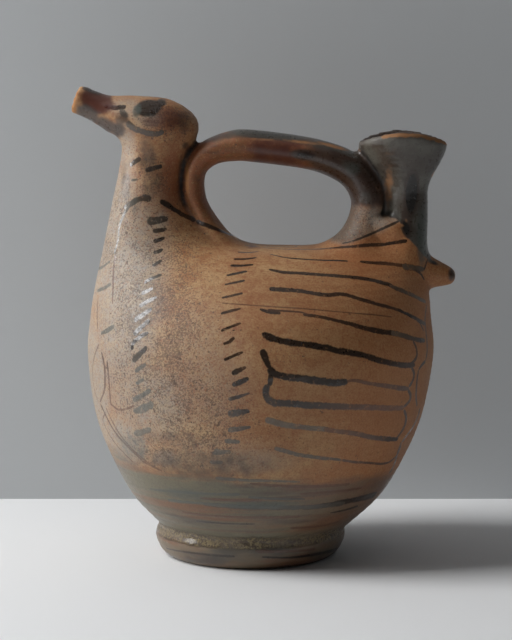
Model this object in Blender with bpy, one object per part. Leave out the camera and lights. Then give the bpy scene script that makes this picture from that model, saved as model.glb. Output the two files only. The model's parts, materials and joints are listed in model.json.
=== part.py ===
"""A duck-shaped askos of fired clay: one hollow vessel, filled at the mouth on its back and poured through the bill.

Metres, +Z up. The bird looks along -X and its two sides are -Y and +Y. It stands on Z = 0 with the origin under
the middle of its bounding box. The vessel was thrown, modelled and luted together before it was fired, so body,
neck, head and bill, mouth, handle, tail and foot are one piece. It is parted level at the hip, the way a mould for
such a vessel would be, so that the hollow of each half lies open to the collision tools.
"""

import math

import bmesh
import bpy
from mathutils import Matrix, Vector

MM = 0.001

# From the table to the top of the bill. The free form is drawn in hundredths of this height.
HEIGHT = 193.2 * MM

# Walls and the ways through them
WALL = 5 * MM
BILL_BORE = 6 * MM
MOUTH_BORE = 10 * MM

# The foot is a turned ring with a hollow under it.
FOOT_DIAMETER = 78.8 * MM
FOOT_HEIGHT = 13 * MM
FOOT_RING_WIDTH = 12 * MM
FOOT_HOLLOW = 6 * MM

# The mouth is a trumpet on a narrow neck, and its rim is drawn up at both sides.
MOUTH_DIAMETER = 36.4 * MM
MOUTH_NECK_DIAMETER = 17.6 * MM
MOUTH_LIP = 3.6 * MM
MOUTH_RISE = 4 * MM

# Handle and tail
HANDLE_WIDTH = 19 * MM
TAIL_LENGTH = 11.5 * MM
TAIL_DIAMETER = 13.5 * MM

# Facets round each form, and steps between two drawn sections
BIRD_SIDES = 36
SMALL_SIDES = 24
STEPS = 2

# Sections of the bird from the foot to the tip of the bill. Each is an egg that spans the side view from the
# front line (x, z) to the back line (x, z), with a half width across the bird, all in hundredths of HEIGHT.
# The last number is how much fuller than an oval the egg is towards the front.
BIRD_SECTIONS = (
    (-17.1, 3.2, 17.1, 3.2, 17.1, 0.0),
    (-19.7, 7.1, 21.3, 6.8, 20.3, 0.0),
    (-25.2, 13.1, 27.9, 13.1, 24.9, 0.0),
    (-29.7, 21.3, 32.9, 21.3, 28.1, 0.0),
    (-33.1, 30.7, 36.8, 30.7, 29.3, 0.0),
    (-34.7, 43.1, 39.0, 43.1, 29.6, 0.0),
    (-34.2, 50.3, 38.5, 50.8, 27.6, 0.02),
    (-33.6, 55.0, 38.1, 55.8, 24.3, 0.07),
    (-33.0, 58.2, 37.1, 60.1, 20.6, 0.13),
    (-32.5, 60.6, 32.6, 64.0, 16.6, 0.20),
    (-32.1, 62.4, 23.1, 65.9, 13.5, 0.26),
    (-31.7, 64.2, 12.5, 66.2, 11.5, 0.28),
    (-31.3, 66.2, 2.1, 66.5, 10.1, 0.24),
    (-30.7, 68.9, -6.0, 68.7, 9.0, 0.16),
    (-29.9, 72.7, -11.2, 72.5, 8.0, 0.07),
    (-29.0, 76.9, -14.2, 77.3, 7.1, 0.0),
    (-28.0, 81.2, -14.4, 80.9, 6.5, 0.0),
    (-27.4, 84.5, -13.8, 83.9, 6.2, 0.0),
    (-27.2, 87.1, -12.3, 87.1, 6.5, 0.0),
    (-27.8, 88.8, -10.9, 91.2, 6.9, 0.0),
    (-28.8, 89.7, -12.3, 94.4, 7.0, 0.0),
    (-30.0, 90.2, -17.1, 97.2, 6.5, 0.0),
    (-31.2, 91.0, -24.1, 98.0, 5.3, 0.0),
    (-32.7, 92.0, -29.7, 98.1, 4.1, 0.0),
    (-34.4, 93.0, -32.7, 99.0, 3.5, 0.0),
    (-36.5, 93.9, -34.5, 99.8, 3.3, 0.0),
    (-38.0, 94.6, -36.1, 100.0, 3.4, 0.0),
)
# The passage narrows from the head to the bore of the bill between these two sections.
PASSAGE_NARROWS = (18, 22)

# Sections of the handle from the nape to the mouth's neck: outer (x, z), inner (x, z) in hundredths of HEIGHT,
# and the width across the bird as a share of HANDLE_WIDTH.
HANDLE_SECTIONS = (
    (-11.0, 69.6, 4.2, 64.0, 1.30),
    (-12.2, 71.6, -0.5, 66.5, 1.22),
    (-13.5, 73.7, -4.1, 68.8, 1.12),
    (-14.8, 77.6, -8.6, 74.7, 1.0),
    (-14.7, 80.2, -9.7, 78.5, 1.0),
    (-14.1, 83.1, -9.5, 81.4, 1.0),
    (-12.4, 86.3, -8.3, 82.9, 1.0),
    (-9.4, 88.7, -6.2, 83.9, 1.0),
    (-5.2, 90.3, -3.5, 84.2, 1.0),
    (-0.1, 90.8, -0.1, 84.1, 1.0),
    (13.9, 88.9, 12.2, 82.4, 1.0),
    (22.8, 85.7, 19.0, 79.4, 1.0),
    (27.6, 80.2, 21.3, 75.7, 1.0),
    (28.6, 76.1, 21.0, 73.8, 1.02),
    (28.4, 73.1, 20.1, 71.2, 1.08),
    (28.4, 70.0, 18.2, 68.5, 1.22),
    (28.4, 67.4, 15.2, 66.8, 1.42),
    (28.4, 64.8, 12.7, 64.4, 1.60),
)

# Middle of the mouth (x, z) in hundredths of HEIGHT: the foot of its neck, the waist and the rim
MOUTH_FOOT = (31.6, 59.0)
MOUTH_WAIST = (33.1, 75.5)
MOUTH_RIM = (32.2, 87.2)
# The trumpet from the waist to the rim: share of the way up, share of the way out
TRUMPET = ((0.0, 0.0), (0.18, 0.02), (0.34, 0.12), (0.52, 0.35), (0.70, 0.64), (0.86, 0.86), (1.0, 1.0))
# The neck below the waist: share of the way up and how far it spreads forward, in neck radii
MOUTH_SPREAD = ((0.0, 1.0), (0.3, 0.62), (0.55, 0.28), (0.8, 0.06))

# Where the tail leaves the rump, in hundredths of HEIGHT, and how far it droops
TAIL_ROOT = (37.8, 60.5)
TAIL_DROOP = math.radians(10)
# The tail from inside the rump to its tip: share of its length, share of its diameter
TAIL_TAPER = ((-0.8, 1.5), (-0.3, 1.2), (0.05, 1.0), (0.4, 0.78), (0.7, 0.60), (0.9, 0.42), (1.0, 0.16))

# Where the vessel is parted, in hundredths of HEIGHT: just under the widest section, so both halves open fully
HIP_LEVEL = 42.0

# The foot from the ring it rests on to its top: share of its height, inset in shares of its height
FOOT_CURVE = ((0.0, 0.45), (0.08, 0.30), (0.23, 0.15), (0.5, 0.03), (0.65, 0.0), (0.85, 0.05), (1.0, 0.15))


def share(value):
    """Hundredths of the vessel's height, in metres."""
    return value * HEIGHT / 100


def ease(value, low=0.0, high=1.0):
    """0 before low, 1 after high and a smooth step between."""
    t = min(1.0, max(0.0, (value - low) / (high - low)))
    return t * t * (3 - 2 * t)


def mix(a, b, t):
    return a + (b - a) * t


def side_point(x, z):
    return Vector((x, 0, z))


def flow(points, steps):
    """Catmull-Rom curve through tuples of numbers, with this many steps between two of them."""
    first = [2 * a - b for a, b in zip(points[0], points[1])]
    last = [2 * a - b for a, b in zip(points[-1], points[-2])]
    padded = [first, *points, last]
    curve = []
    for p0, p1, p2, p3 in zip(padded, padded[1:], padded[2:], padded[3:]):
        for k in range(steps):
            t = k / steps
            curve.append([between(a, b, c, d, t) for a, b, c, d in zip(p0, p1, p2, p3)])
    curve.append(list(points[-1]))
    return curve


def between(a, b, c, d, t):
    """One number of a Catmull-Rom curve, t of the way from b to c."""
    return b + 0.5 * t * (c - a + t * (2 * a - 5 * b + 4 * c - d + t * (3 * b - a - 3 * c + d)))


def oval(front, back, half_width, sides, fuller=0.0):
    """A ring that spans the side view from front to back and half_width to each side, fuller at the front."""
    middle = (front + back) / 2
    reach = (back - front) / 2
    ring = []
    for k in range(sides):
        turn = 2 * math.pi * k / sides
        width = half_width * math.sin(turn) * (1 - fuller * math.cos(turn))
        ring.append(middle + reach * math.cos(turn) + Vector((0, width, 0)))
    return ring


def level_ring(middle, radius, sides, lift=0.0):
    """A level circle, drawn up by lift at the two sides of the bird."""
    ring = oval(middle - side_point(radius, 0), middle + side_point(radius, 0), radius, sides)
    return [point + side_point(0, lift * (point.y / radius) ** 2) for point in ring]


def loft(name, rings):
    """A closed solid through rings of equal length, with a flat end on the first and the last."""
    bm = bmesh.new()
    loops = [[bm.verts.new(point) for point in ring] for ring in rings]
    sides = len(loops[0])
    for lower, upper in zip(loops, loops[1:]):
        for k in range(sides):
            after = (k + 1) % sides
            bm.faces.new((lower[k], lower[after], upper[after], upper[k]))
    bm.faces.new(loops[0])
    bm.faces.new(loops[-1])
    bmesh.ops.recalc_face_normals(bm, faces=bm.faces)
    mesh = bpy.data.meshes.new(name)
    bm.to_mesh(mesh)
    bm.free()
    solid = bpy.data.objects.new(name, mesh)
    bpy.context.scene.collection.objects.link(solid)
    return solid


def combine(target, tool, operation):
    """Joins the tool to the target, or cuts it from it, and removes the tool."""
    tool.hide_render = True
    tool.display_type = "WIRE"
    step = target.modifiers.new(operation.title(), "BOOLEAN")
    step.operation = operation
    step.solver = "EXACT"
    step.object = tool
    graph = bpy.context.evaluated_depsgraph_get()
    result = bpy.data.meshes.new_from_object(target.evaluated_get(graph))
    target.modifiers.clear()
    target.data = result
    bpy.data.objects.remove(tool)


def bird_line(steps):
    """The bird's sections with the steps between them: front and back points, half widths and fullness."""
    drawn = flow(BIRD_SECTIONS, steps)
    fronts = [side_point(share(x), share(z)) for x, z, *_ in drawn]
    backs = [side_point(share(x), share(z)) for _, _, x, z, _, _ in drawn]
    return fronts, backs, [share(half) for *_, half, _ in drawn], [fuller for *_, fuller in drawn]


def bird():
    """Body, neck, head and bill in one skin."""
    sections = zip(*bird_line(STEPS))
    return loft("bird", [oval(front, back, half, BIRD_SIDES, fuller) for front, back, half, fuller in sections])


def inward(points, k, towards):
    """The unit normal of a side-view line at its point k, on the side of the point given."""
    along = points[min(k + 1, len(points) - 1)] - points[max(k - 1, 0)]
    normal = side_point(-along.z, along.x).normalized()
    return normal if normal.dot(towards - points[k]) > 0 else -normal


def cavity():
    """The hollow of the bird: a wall inside the skin, a flat floor, and a bore that leaves through the bill."""
    fronts, backs, halves, fullness = bird_line(1)
    floor = FOOT_HOLLOW + WALL
    middles = [(front + back) / 2 for front, back in zip(fronts, backs)]
    rings = []
    for k, middle in enumerate(middles):
        narrow = ease(k, *PASSAGE_NARROWS)
        bore = (backs[k] - fronts[k]).normalized() * BILL_BORE / 2
        front = (fronts[k] + inward(fronts, k, backs[k]) * WALL).lerp(middle - bore, narrow)
        back = (backs[k] + inward(backs, k, fronts[k]) * WALL).lerp(middle + bore, narrow)
        half = mix(halves[k] - WALL, BILL_BORE / 2, narrow)
        if max(front.z, back.z) > floor:
            front.z, back.z = max(front.z, floor), max(back.z, floor)
            rings.append(oval(front, back, half, SMALL_SIDES, fullness[k]))
    past_the_tip = (middles[-1] - middles[-2]).normalized() * WALL
    rings.append([point + past_the_tip for point in rings[-1]])
    return loft("cavity", rings)


def foot():
    """The foot as a thick rounded disc; its hollow is cut later."""
    radius = FOOT_DIAMETER / 2
    levels = [(up * FOOT_HEIGHT, radius - inset * FOOT_HEIGHT) for up, inset in FOOT_CURVE]
    return loft("foot", [level_ring(side_point(0, z), r, BIRD_SIDES) for z, r in levels])


def foot_hollow():
    radius = FOOT_DIAMETER / 2 - FOOT_RING_WIDTH
    slope = 0.3 * FOOT_HOLLOW
    levels = ((-WALL, radius + slope), (0.0, radius + slope), (slope, radius), (FOOT_HOLLOW, radius - slope))
    return loft("foot_hollow", [level_ring(side_point(0, z), r, SMALL_SIDES) for z, r in levels])


def trumpet_levels(neck_radius, rim_radius):
    """(middle, radius, lift) of the mouth's rings from the waist to the rim."""
    waist = side_point(share(MOUTH_WAIST[0]), share(MOUTH_WAIST[1]))
    rim = side_point(share(MOUTH_RIM[0]), share(MOUTH_RIM[1]))
    radii = [(up, mix(neck_radius, rim_radius, out)) for up, out in flow(TRUMPET, STEPS)]
    return [(waist.lerp(rim, up), radius, MOUTH_RISE * ease(up, 0.3)) for up, radius in radii]


def mouth():
    """The filling mouth: a spreading foot on the rump, a narrow neck and a trumpet with a rounded lip."""
    radius = MOUTH_NECK_DIAMETER / 2
    base = side_point(share(MOUTH_FOOT[0]), share(MOUTH_FOOT[1]))
    waist = side_point(share(MOUTH_WAIST[0]), share(MOUTH_WAIST[1]))
    rings = []
    for up, spread in MOUTH_SPREAD:
        z = mix(base.z, waist.z, up)
        front = side_point(waist.x - radius * (1 + spread), z)
        back = side_point(waist.x + radius, z)
        rings.append(oval(front, back, radius * (1 + 0.8 * spread), SMALL_SIDES))
    levels = trumpet_levels(radius, MOUTH_DIAMETER / 2)
    rings += [level_ring(middle, r, SMALL_SIDES, lift) for middle, r, lift in levels]
    rim, rim_radius, lift = levels[-1]
    for inset, up in ((0.0, 0.25), (0.15, 0.55), (0.40, 0.75)):
        top = rim + side_point(0, up * MOUTH_LIP)
        rings.append(level_ring(top, rim_radius - inset * MOUTH_LIP, SMALL_SIDES, lift))
    return loft("mouth", rings)


def mouth_passage():
    """The way down through the mouth: a funnel, a narrow bore and an opening into the body."""
    radius = MOUTH_BORE / 2
    waist = side_point(share(MOUTH_WAIST[0]), share(MOUTH_WAIST[1]))
    base = side_point(waist.x - WALL / 2, share(MOUTH_FOOT[1]) - WALL)
    rings = [level_ring(base.lerp(waist, up), radius * (1.6 - 0.6 * up), SMALL_SIDES) for up in (0.0, 0.35, 0.7)]
    levels = trumpet_levels(radius, MOUTH_DIAMETER / 2 - MOUTH_LIP)
    rings += [level_ring(middle, r, SMALL_SIDES, lift) for middle, r, lift in levels]
    rim, rim_radius, lift = levels[-1]
    for out, up in ((0.15, 0.5), (0.45, 0.75), (0.70, 2.0)):
        top = rim + side_point(0, up * MOUTH_LIP)
        rings.append(level_ring(top, rim_radius + out * MOUTH_LIP, SMALL_SIDES, lift))
    return loft("mouth_passage", rings)


def handle():
    """A thick oval strap that rises behind the nape and comes down against the mouth's neck."""
    rings = []
    for outer_x, outer_z, inner_x, inner_z, wide in flow(HANDLE_SECTIONS, STEPS):
        outer = side_point(share(outer_x), share(outer_z))
        inner = side_point(share(inner_x), share(inner_z))
        rings.append(oval(outer, inner, wide * HANDLE_WIDTH / 2, SMALL_SIDES))
    return loft("handle", rings)


def tail():
    """A short blunt tail that points back and droops a little."""
    root = side_point(share(TAIL_ROOT[0]), share(TAIL_ROOT[1]))
    along = side_point(math.cos(TAIL_DROOP), -math.sin(TAIL_DROOP)) * TAIL_LENGTH
    upright = side_point(math.sin(TAIL_DROOP), math.cos(TAIL_DROOP)) * TAIL_DIAMETER / 2
    rings = []
    for out, size in TAIL_TAPER:
        middle = root + along * out
        half_width = TAIL_DIAMETER / 2 * size
        rings.append(oval(middle - upright * size, middle + upright * size, half_width, SMALL_SIDES))
    return loft("tail", rings)


def below_the_hip():
    """A block that holds everything under the parting, with room to spare all round."""
    level = share(HIP_LEVEL)
    corners = ((-HEIGHT, -HEIGHT), (HEIGHT, -HEIGHT), (HEIGHT, HEIGHT), (-HEIGHT, HEIGHT))
    return loft("below_the_hip", [[Vector((x, y, z)) for x, y in corners] for z in (-HEIGHT, level)])


def fired_clay():
    """Orange-brown clay with the sheen of the worn glaze; the painting isn't part of this model."""
    material = bpy.data.materials.new("fired_clay")
    material.use_nodes = True
    shader = material.node_tree.nodes["Principled BSDF"]
    shader.inputs["Base Color"].default_value = (0.30, 0.16, 0.08, 1)
    shader.inputs["Roughness"].default_value = 0.45
    shader.inputs["Metallic"].default_value = 0.0
    return material


def whole_vessel():
    """Forms joined, hollows cut, then moved so that it stands over the origin."""
    vessel = bird()
    for form in (foot(), mouth(), handle(), tail()):
        combine(vessel, form, "UNION")
    for hollow in (foot_hollow(), cavity(), mouth_passage()):
        combine(vessel, hollow, "DIFFERENCE")
    xs = [vertex.co.x for vertex in vessel.data.vertices]
    vessel.data.transform(Matrix.Translation(side_point(-(min(xs) + max(xs)) / 2, 0)))
    return vessel


def askos():
    """The vessel in two halves that meet at the hip: the bowl on its foot, and all that rises from it."""
    upper = whole_vessel()
    upper.name = "upper_vessel"
    lower = upper.copy()
    lower.name = "lower_vessel"
    bpy.context.scene.collection.objects.link(lower)
    combine(lower, below_the_hip(), "INTERSECT")
    combine(upper, below_the_hip(), "DIFFERENCE")
    clay = fired_clay()
    for half in (lower, upper):
        half.data.materials.clear()
        half.data.materials.append(clay)
        half.data.shade_smooth()
        half.data.set_sharp_from_angle(angle=math.radians(40))


for old in list(bpy.data.objects):
    bpy.data.objects.remove(old)
askos()
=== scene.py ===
# %% [markdown]
# # A duck-shaped askos
# An askos is a small closed vessel for oil or wine. A potter threw the belly on a wheel, pressed it into an
# egg, and luted on a neck with a duck's head, a handle, a trumpet mouth for filling and a ring foot. A
# painter then drew the feathers in dark slip. This lesson rebuilds that vessel around its measured model:
# the clay form first, then the painting, then the signs of age, and at last a floor, soft light and a
# camera.
#
# The measured model comes in first and stays where it is.

# %% Load the measured model
import json
import math

import bmesh
import bpy
import numpy as np
from mathutils import Euler, Matrix, Vector, noise
from mathutils.bvhtree import BVHTree

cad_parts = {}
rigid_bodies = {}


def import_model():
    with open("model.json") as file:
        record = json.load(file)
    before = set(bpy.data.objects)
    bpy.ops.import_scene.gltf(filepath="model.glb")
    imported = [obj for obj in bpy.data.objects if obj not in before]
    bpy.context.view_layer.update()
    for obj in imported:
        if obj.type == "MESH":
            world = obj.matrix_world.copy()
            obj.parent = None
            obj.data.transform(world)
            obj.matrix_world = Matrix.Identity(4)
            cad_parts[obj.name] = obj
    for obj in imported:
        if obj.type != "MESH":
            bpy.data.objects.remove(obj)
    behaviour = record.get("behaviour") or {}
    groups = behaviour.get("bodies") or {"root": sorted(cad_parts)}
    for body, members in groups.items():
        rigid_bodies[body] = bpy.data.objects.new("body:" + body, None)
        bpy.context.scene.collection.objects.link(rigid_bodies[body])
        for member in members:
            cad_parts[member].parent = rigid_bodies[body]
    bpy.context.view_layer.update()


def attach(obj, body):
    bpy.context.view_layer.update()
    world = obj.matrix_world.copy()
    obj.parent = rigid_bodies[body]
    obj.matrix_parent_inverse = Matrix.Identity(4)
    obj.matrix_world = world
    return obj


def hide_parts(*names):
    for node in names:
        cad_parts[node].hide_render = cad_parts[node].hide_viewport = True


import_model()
MM = 0.001

# %% [markdown]
# ## Height, wall and proportions
# Pots of one shape were made in many sizes, so what a potter keeps in mind is proportion. The outline below
# is written in hundredths of the height. Plain millimetres would do for one pot, but then no other size
# could be made. Only what a tool or a finger sets, such as the wall, is a length of its own.

# %% Height and wall
HEIGHT = 193.2 * MM
WALL = 5 * MM


def share(value):
    """Hundredths of the vessel's height, in metres."""
    return value * HEIGHT / 100


def side_point(x, z):
    return np.array((x, 0.0, z))


print("height, mm:", HEIGHT / MM, " wall, mm:", WALL / MM)

# %% [markdown]
# ## Smooth numbers between the drawn ones
# Nothing on a thrown pot is straight. A Catmull-Rom spline passes through every number that is drawn and
# gives smooth ones in between. Blender's curves could do this for a line, but here a row may hold points, a
# width and a fullness at once, and one spline carries them all. The same three helpers later shape wear and
# paint.

# %% Spline and blends
def ease(value, low=0.0, high=1.0):
    """0 before low, 1 after high and a smooth step between; numbers or arrays."""
    t = np.clip((value - low) / (high - low), 0, 1)
    return t * t * (3 - 2 * t)


def mix(a, b, t):
    return a + (b - a) * t


def flow(points, steps):
    """Catmull-Rom curve through rows of numbers, with this many steps between two of them."""
    rows = np.array(points, float)
    rows = np.vstack([2 * rows[0] - rows[1], rows, 2 * rows[-1] - rows[-2]])
    a, b, c, d = (rows[k : len(rows) - 3 + k, None] for k in range(4))
    t = (np.arange(steps) / steps)[None, :, None]
    curve = b + 0.5 * t * (c - a + t * (2 * a - 5 * b + 4 * c - d + t * (3 * b - a - 3 * c + d)))
    return np.vstack([curve.reshape(-1, rows.shape[1]), rows[-2]])


print("a spline through 3 rows with 2 steps has", len(flow([(0,), (1,), (0,)], 2)), "rows")

# %% [markdown]
# ## From sections to clay
# An oval ring is laid through each section, and a loft skins the rings. Skin or screw modifiers are the
# usual way to such a body, but the belly tips over into a neck and a bill, so its rings lean, and a loft in
# code keeps every ring tied to a named size. The measured model was made the same way, so the two agree.

# %% Rings and lofts
BIRD_SIDES = 144
SMALL_SIDES = 72
FINE_STEPS = 6


def oval(front, back, half_width, sides, fuller=0.0):
    """A ring from front to back in the side view and half_width to each side, fuller at the front."""
    turn = 2 * math.pi * np.arange(sides) / sides
    ring = (front + back) / 2 + np.outer(np.cos(turn), (back - front) / 2)
    ring[:, 1] = half_width * np.sin(turn) * (1 - fuller * np.cos(turn))
    return ring


def level_ring(middle, radius, sides, lift=0.0):
    """A level circle, drawn up by lift at the two sides of the bird."""
    ring = oval(middle - side_point(radius, 0), middle + side_point(radius, 0), radius, sides)
    ring[:, 2] += lift * (ring[:, 1] / radius) ** 2
    return ring


def loft(name, rings):
    """A closed solid through rings of equal length, with a flat end on the first and the last."""
    sides, count = len(rings[0]), len(rings)
    near = np.arange(sides)
    after = np.roll(near, -1)
    starts = np.arange(count - 1)[:, None] * sides
    quads = np.stack([starts + near, starts + after, starts + sides + after, starts + sides + near], -1)
    faces = quads.reshape(-1, 4).tolist() + [near[::-1].tolist(), (near + (count - 1) * sides).tolist()]
    mesh = bpy.data.meshes.new(name)
    mesh.from_pydata(np.vstack(rings).tolist(), [], faces)
    fair = bmesh.new()
    fair.from_mesh(mesh)
    bmesh.ops.recalc_face_normals(fair, faces=fair.faces)
    fair.to_mesh(mesh)
    fair.free()
    solid = bpy.data.objects.new(name, mesh)
    bpy.context.scene.collection.objects.link(solid)
    return solid


print("points on a ring of the body:", BIRD_SIDES)

# %% [markdown]
# ## Joining and cutting
# Lumps of clay are pressed together, and hollows are taken out of them. Boolean modifiers do both. They are
# applied at once, so that each next step works on finished clay.

# %% Apply, join and cut


def settle(piece):
    """Applies the piece's modifiers to its mesh."""
    graph = bpy.context.evaluated_depsgraph_get()
    mesh = bpy.data.meshes.new_from_object(piece.evaluated_get(graph))
    piece.modifiers.clear()
    piece.data = mesh


def combine(target, tool, operation):
    """Joins the tool to the target, or cuts it from it, and removes the tool."""
    step = target.modifiers.new(operation.title(), "BOOLEAN")
    step.operation = operation
    step.solver = "EXACT"
    step.object = tool
    settle(target)
    bpy.data.objects.remove(tool)


print("solver for joins:", "EXACT")

# %% [markdown]
# ## Belly, neck, head and bill
# The bird is drawn from the side, as a potter would plan it. Each row joins a point of the breast line to a
# point of the back line and says how wide the bird is there. On the real vessel these are separate lumps
# whose joins were wiped smooth, so one skin suits them: its rings lie level in the belly and tip over until
# they stand across the bill.

# %% The bird's outline
# front x, front z, back x, back z, half width, fuller towards the front
BIRD_SECTIONS = (
    (-17.1, 3.2, 17.1, 3.2, 17.1, 0.0),
    (-19.7, 7.1, 21.3, 6.8, 20.3, 0.0),
    (-25.2, 13.1, 27.9, 13.1, 24.9, 0.0),
    (-29.7, 21.3, 32.9, 21.3, 28.1, 0.0),
    (-33.1, 30.7, 36.8, 30.7, 29.3, 0.0),
    (-34.7, 43.1, 39.0, 43.1, 29.6, 0.0),
    (-34.2, 50.3, 38.5, 50.8, 27.6, 0.02),
    (-33.6, 55.0, 38.1, 55.8, 24.3, 0.07),
    (-33.0, 58.2, 37.1, 60.1, 20.6, 0.13),
    (-32.5, 60.6, 32.6, 64.0, 16.6, 0.20),
    (-32.1, 62.4, 23.1, 65.9, 13.5, 0.26),
    (-31.7, 64.2, 12.5, 66.2, 11.5, 0.28),
    (-31.3, 66.2, 2.1, 66.5, 10.1, 0.24),
    (-30.7, 68.9, -6.0, 68.7, 9.0, 0.16),
    (-29.9, 72.7, -11.2, 72.5, 8.0, 0.07),
    (-29.0, 76.9, -14.2, 77.3, 7.1, 0.0),
    (-28.0, 81.2, -14.4, 80.9, 6.5, 0.0),
    (-27.4, 84.5, -13.8, 83.9, 6.2, 0.0),
    (-27.2, 87.1, -12.3, 87.1, 6.5, 0.0),
    (-27.8, 88.8, -10.9, 91.2, 6.9, 0.0),
    (-28.8, 89.7, -12.3, 94.4, 7.0, 0.0),
    (-30.0, 90.2, -17.1, 97.2, 6.5, 0.0),
    (-31.2, 91.0, -24.1, 98.0, 5.3, 0.0),
    (-32.7, 92.0, -29.7, 98.1, 4.1, 0.0),
    (-34.4, 93.0, -32.7, 99.0, 3.5, 0.0),
    (-36.5, 93.9, -34.5, 99.8, 3.3, 0.0),
    (-38.0, 94.6, -36.1, 100.0, 3.4, 0.0),
)


def bird_line(steps):
    """Front and back points, half widths and fullness of all sections."""
    rows = flow(BIRD_SECTIONS, steps)
    zero = np.zeros(len(rows))
    fronts = np.stack([share(rows[:, 0]), zero, share(rows[:, 1])], 1)
    backs = np.stack([share(rows[:, 2]), zero, share(rows[:, 3])], 1)
    return fronts, backs, share(rows[:, 4]), rows[:, 5]


def bird():
    rings = []
    for front, back, half, fuller in zip(*bird_line(FINE_STEPS)):
        rings.append(oval(front, back, half, BIRD_SIDES, fuller))
    return loft("bird", rings)


vessel = bird()
vessel.name = "duck_askos"
print("sections drawn:", len(BIRD_SECTIONS), " after the spline:", len(bird_line(FINE_STEPS)[0]))

# %% [markdown]
# ## The hollow
# A vessel that pours has a wall and room inside. A Solidify modifier could give a wall, but the neck would
# then keep a wide hollow up to the bill, which on the real one is a narrow bore. So the hollow is lofted
# from the same sections, one wall further in, with a flat floor above the foot and a bore that leaves
# through the bill.

# %% The bird's hollow
BILL_BORE = 6 * MM
FOOT_HOLLOW = 6 * MM
PASSAGE_NARROWS = (18, 22)


def inward(points, towards):
    """Unit normals of a side-view line, on the side of the other line."""
    along = np.gradient(points, axis=0)
    normals = np.stack([-along[:, 2], along[:, 1], along[:, 0]], 1)
    normals /= np.linalg.norm(normals, axis=1)[:, None]
    flip = np.sign(np.sum(normals * (towards - points), axis=1))
    return normals * flip[:, None]


def cavity():
    """The hollow: a wall inside the skin, a flat floor, and a bore that leaves through the bill."""
    fronts, backs, halves, fullness = bird_line(2)
    floor = FOOT_HOLLOW + WALL
    middles = (fronts + backs) / 2
    narrow = ease(np.arange(len(middles)) / 2, *PASSAGE_NARROWS)[:, None]
    bore = (backs - fronts) / np.linalg.norm(backs - fronts, axis=1)[:, None] * BILL_BORE / 2
    inner_fronts = mix(fronts + inward(fronts, backs) * WALL, middles - bore, narrow)
    inner_backs = mix(backs + inward(backs, fronts) * WALL, middles + bore, narrow)
    inner_halves = mix(halves - WALL, BILL_BORE / 2, narrow[:, 0])
    rings = []
    for front, back, half, fuller in zip(inner_fronts, inner_backs, inner_halves, fullness):
        if max(front[2], back[2]) > floor:
            front[2], back[2] = max(front[2], floor), max(back[2], floor)
            rings.append(oval(front, back, half, SMALL_SIDES, fuller))
    tip = middles[-1] - middles[-2]
    rings.append(rings[-1] + tip / np.linalg.norm(tip) * WALL)
    return loft("cavity", rings)


hollows = {"cavity": cavity()}
print("bore of the bill, mm:", BILL_BORE / MM)

# %% [markdown]
# ## The ring foot
# The foot was turned on the wheel: a stack of level rings whose radius follows a short profile. Its
# underside is hollow, so that the vessel stands on a ring and doesn't rock.

# %% Foot
FOOT_DIAMETER = 78.8 * MM
FOOT_HEIGHT = 13 * MM
FOOT_RING_WIDTH = 12 * MM
# share of the foot's height, and how far in the profile lies there, in shares of the same height
FOOT_CURVE = ((0.0, 0.45), (0.08, 0.30), (0.23, 0.15), (0.5, 0.03), (0.65, 0.0), (0.85, 0.05), (1.0, 0.15))


def foot():
    radius = FOOT_DIAMETER / 2
    levels = flow([(up * FOOT_HEIGHT, radius - inset * FOOT_HEIGHT) for up, inset in FOOT_CURVE], 4)
    return loft("foot", [level_ring(side_point(0, z), r, BIRD_SIDES) for z, r in levels])


def foot_hollow():
    radius = FOOT_DIAMETER / 2 - FOOT_RING_WIDTH
    slope = 0.3 * FOOT_HOLLOW
    levels = ((-WALL, radius + slope), (0.0, radius + slope), (slope, radius), (FOOT_HOLLOW, radius - slope))
    return loft("foot_hollow", [level_ring(side_point(0, z), r, SMALL_SIDES) for z, r in levels])


forms = {"foot": foot()}
hollows["foot_hollow"] = foot_hollow()
print("foot, mm:", FOOT_DIAMETER / MM, "across,", FOOT_HEIGHT / MM, "high")

# %% [markdown]
# ## The filling mouth
# Behind the handle stands a trumpet for filling. It spreads where it was pressed onto the rump, is narrow
# at the waist and opens to a rounded lip. The rim was pinched a little, which raised its two sides, and the
# lift of each ring says how much. The way down through it is lofted from the same levels with a smaller
# radius.

# %% Mouth
MOUTH_BORE = 10 * MM
MOUTH_DIAMETER = 36.4 * MM
MOUTH_NECK_DIAMETER = 17.6 * MM
MOUTH_LIP = 3.6 * MM
MOUTH_RISE = 4 * MM
MOUTH_RISES_FROM = 0.3
MOUTH_FOOT = (31.6, 59.0)
MOUTH_WAIST = (33.1, 75.5)
MOUTH_RIM = (32.2, 87.2)
# share of the way from waist to rim, share of the way from neck to rim radius
TRUMPET = ((0.0, 0.0), (0.18, 0.02), (0.34, 0.12), (0.52, 0.35), (0.70, 0.64), (0.86, 0.86), (1.0, 1.0))
# share of the way from rump to waist, how much wider than the neck
MOUTH_SPREAD = ((0.0, 1.0), (0.3, 0.62), (0.55, 0.28), (0.8, 0.06))
SIDE_SPREAD = 0.8
PASSAGE_SPREAD = 1.6
# how far in or out, and how far up, in shares of the lip's thickness
LIP_OUTSIDE = ((0.0, 0.25), (0.15, 0.55), (0.40, 0.75))
LIP_INSIDE = ((0.15, 0.5), (0.45, 0.75), (0.70, 2.0))


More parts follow.
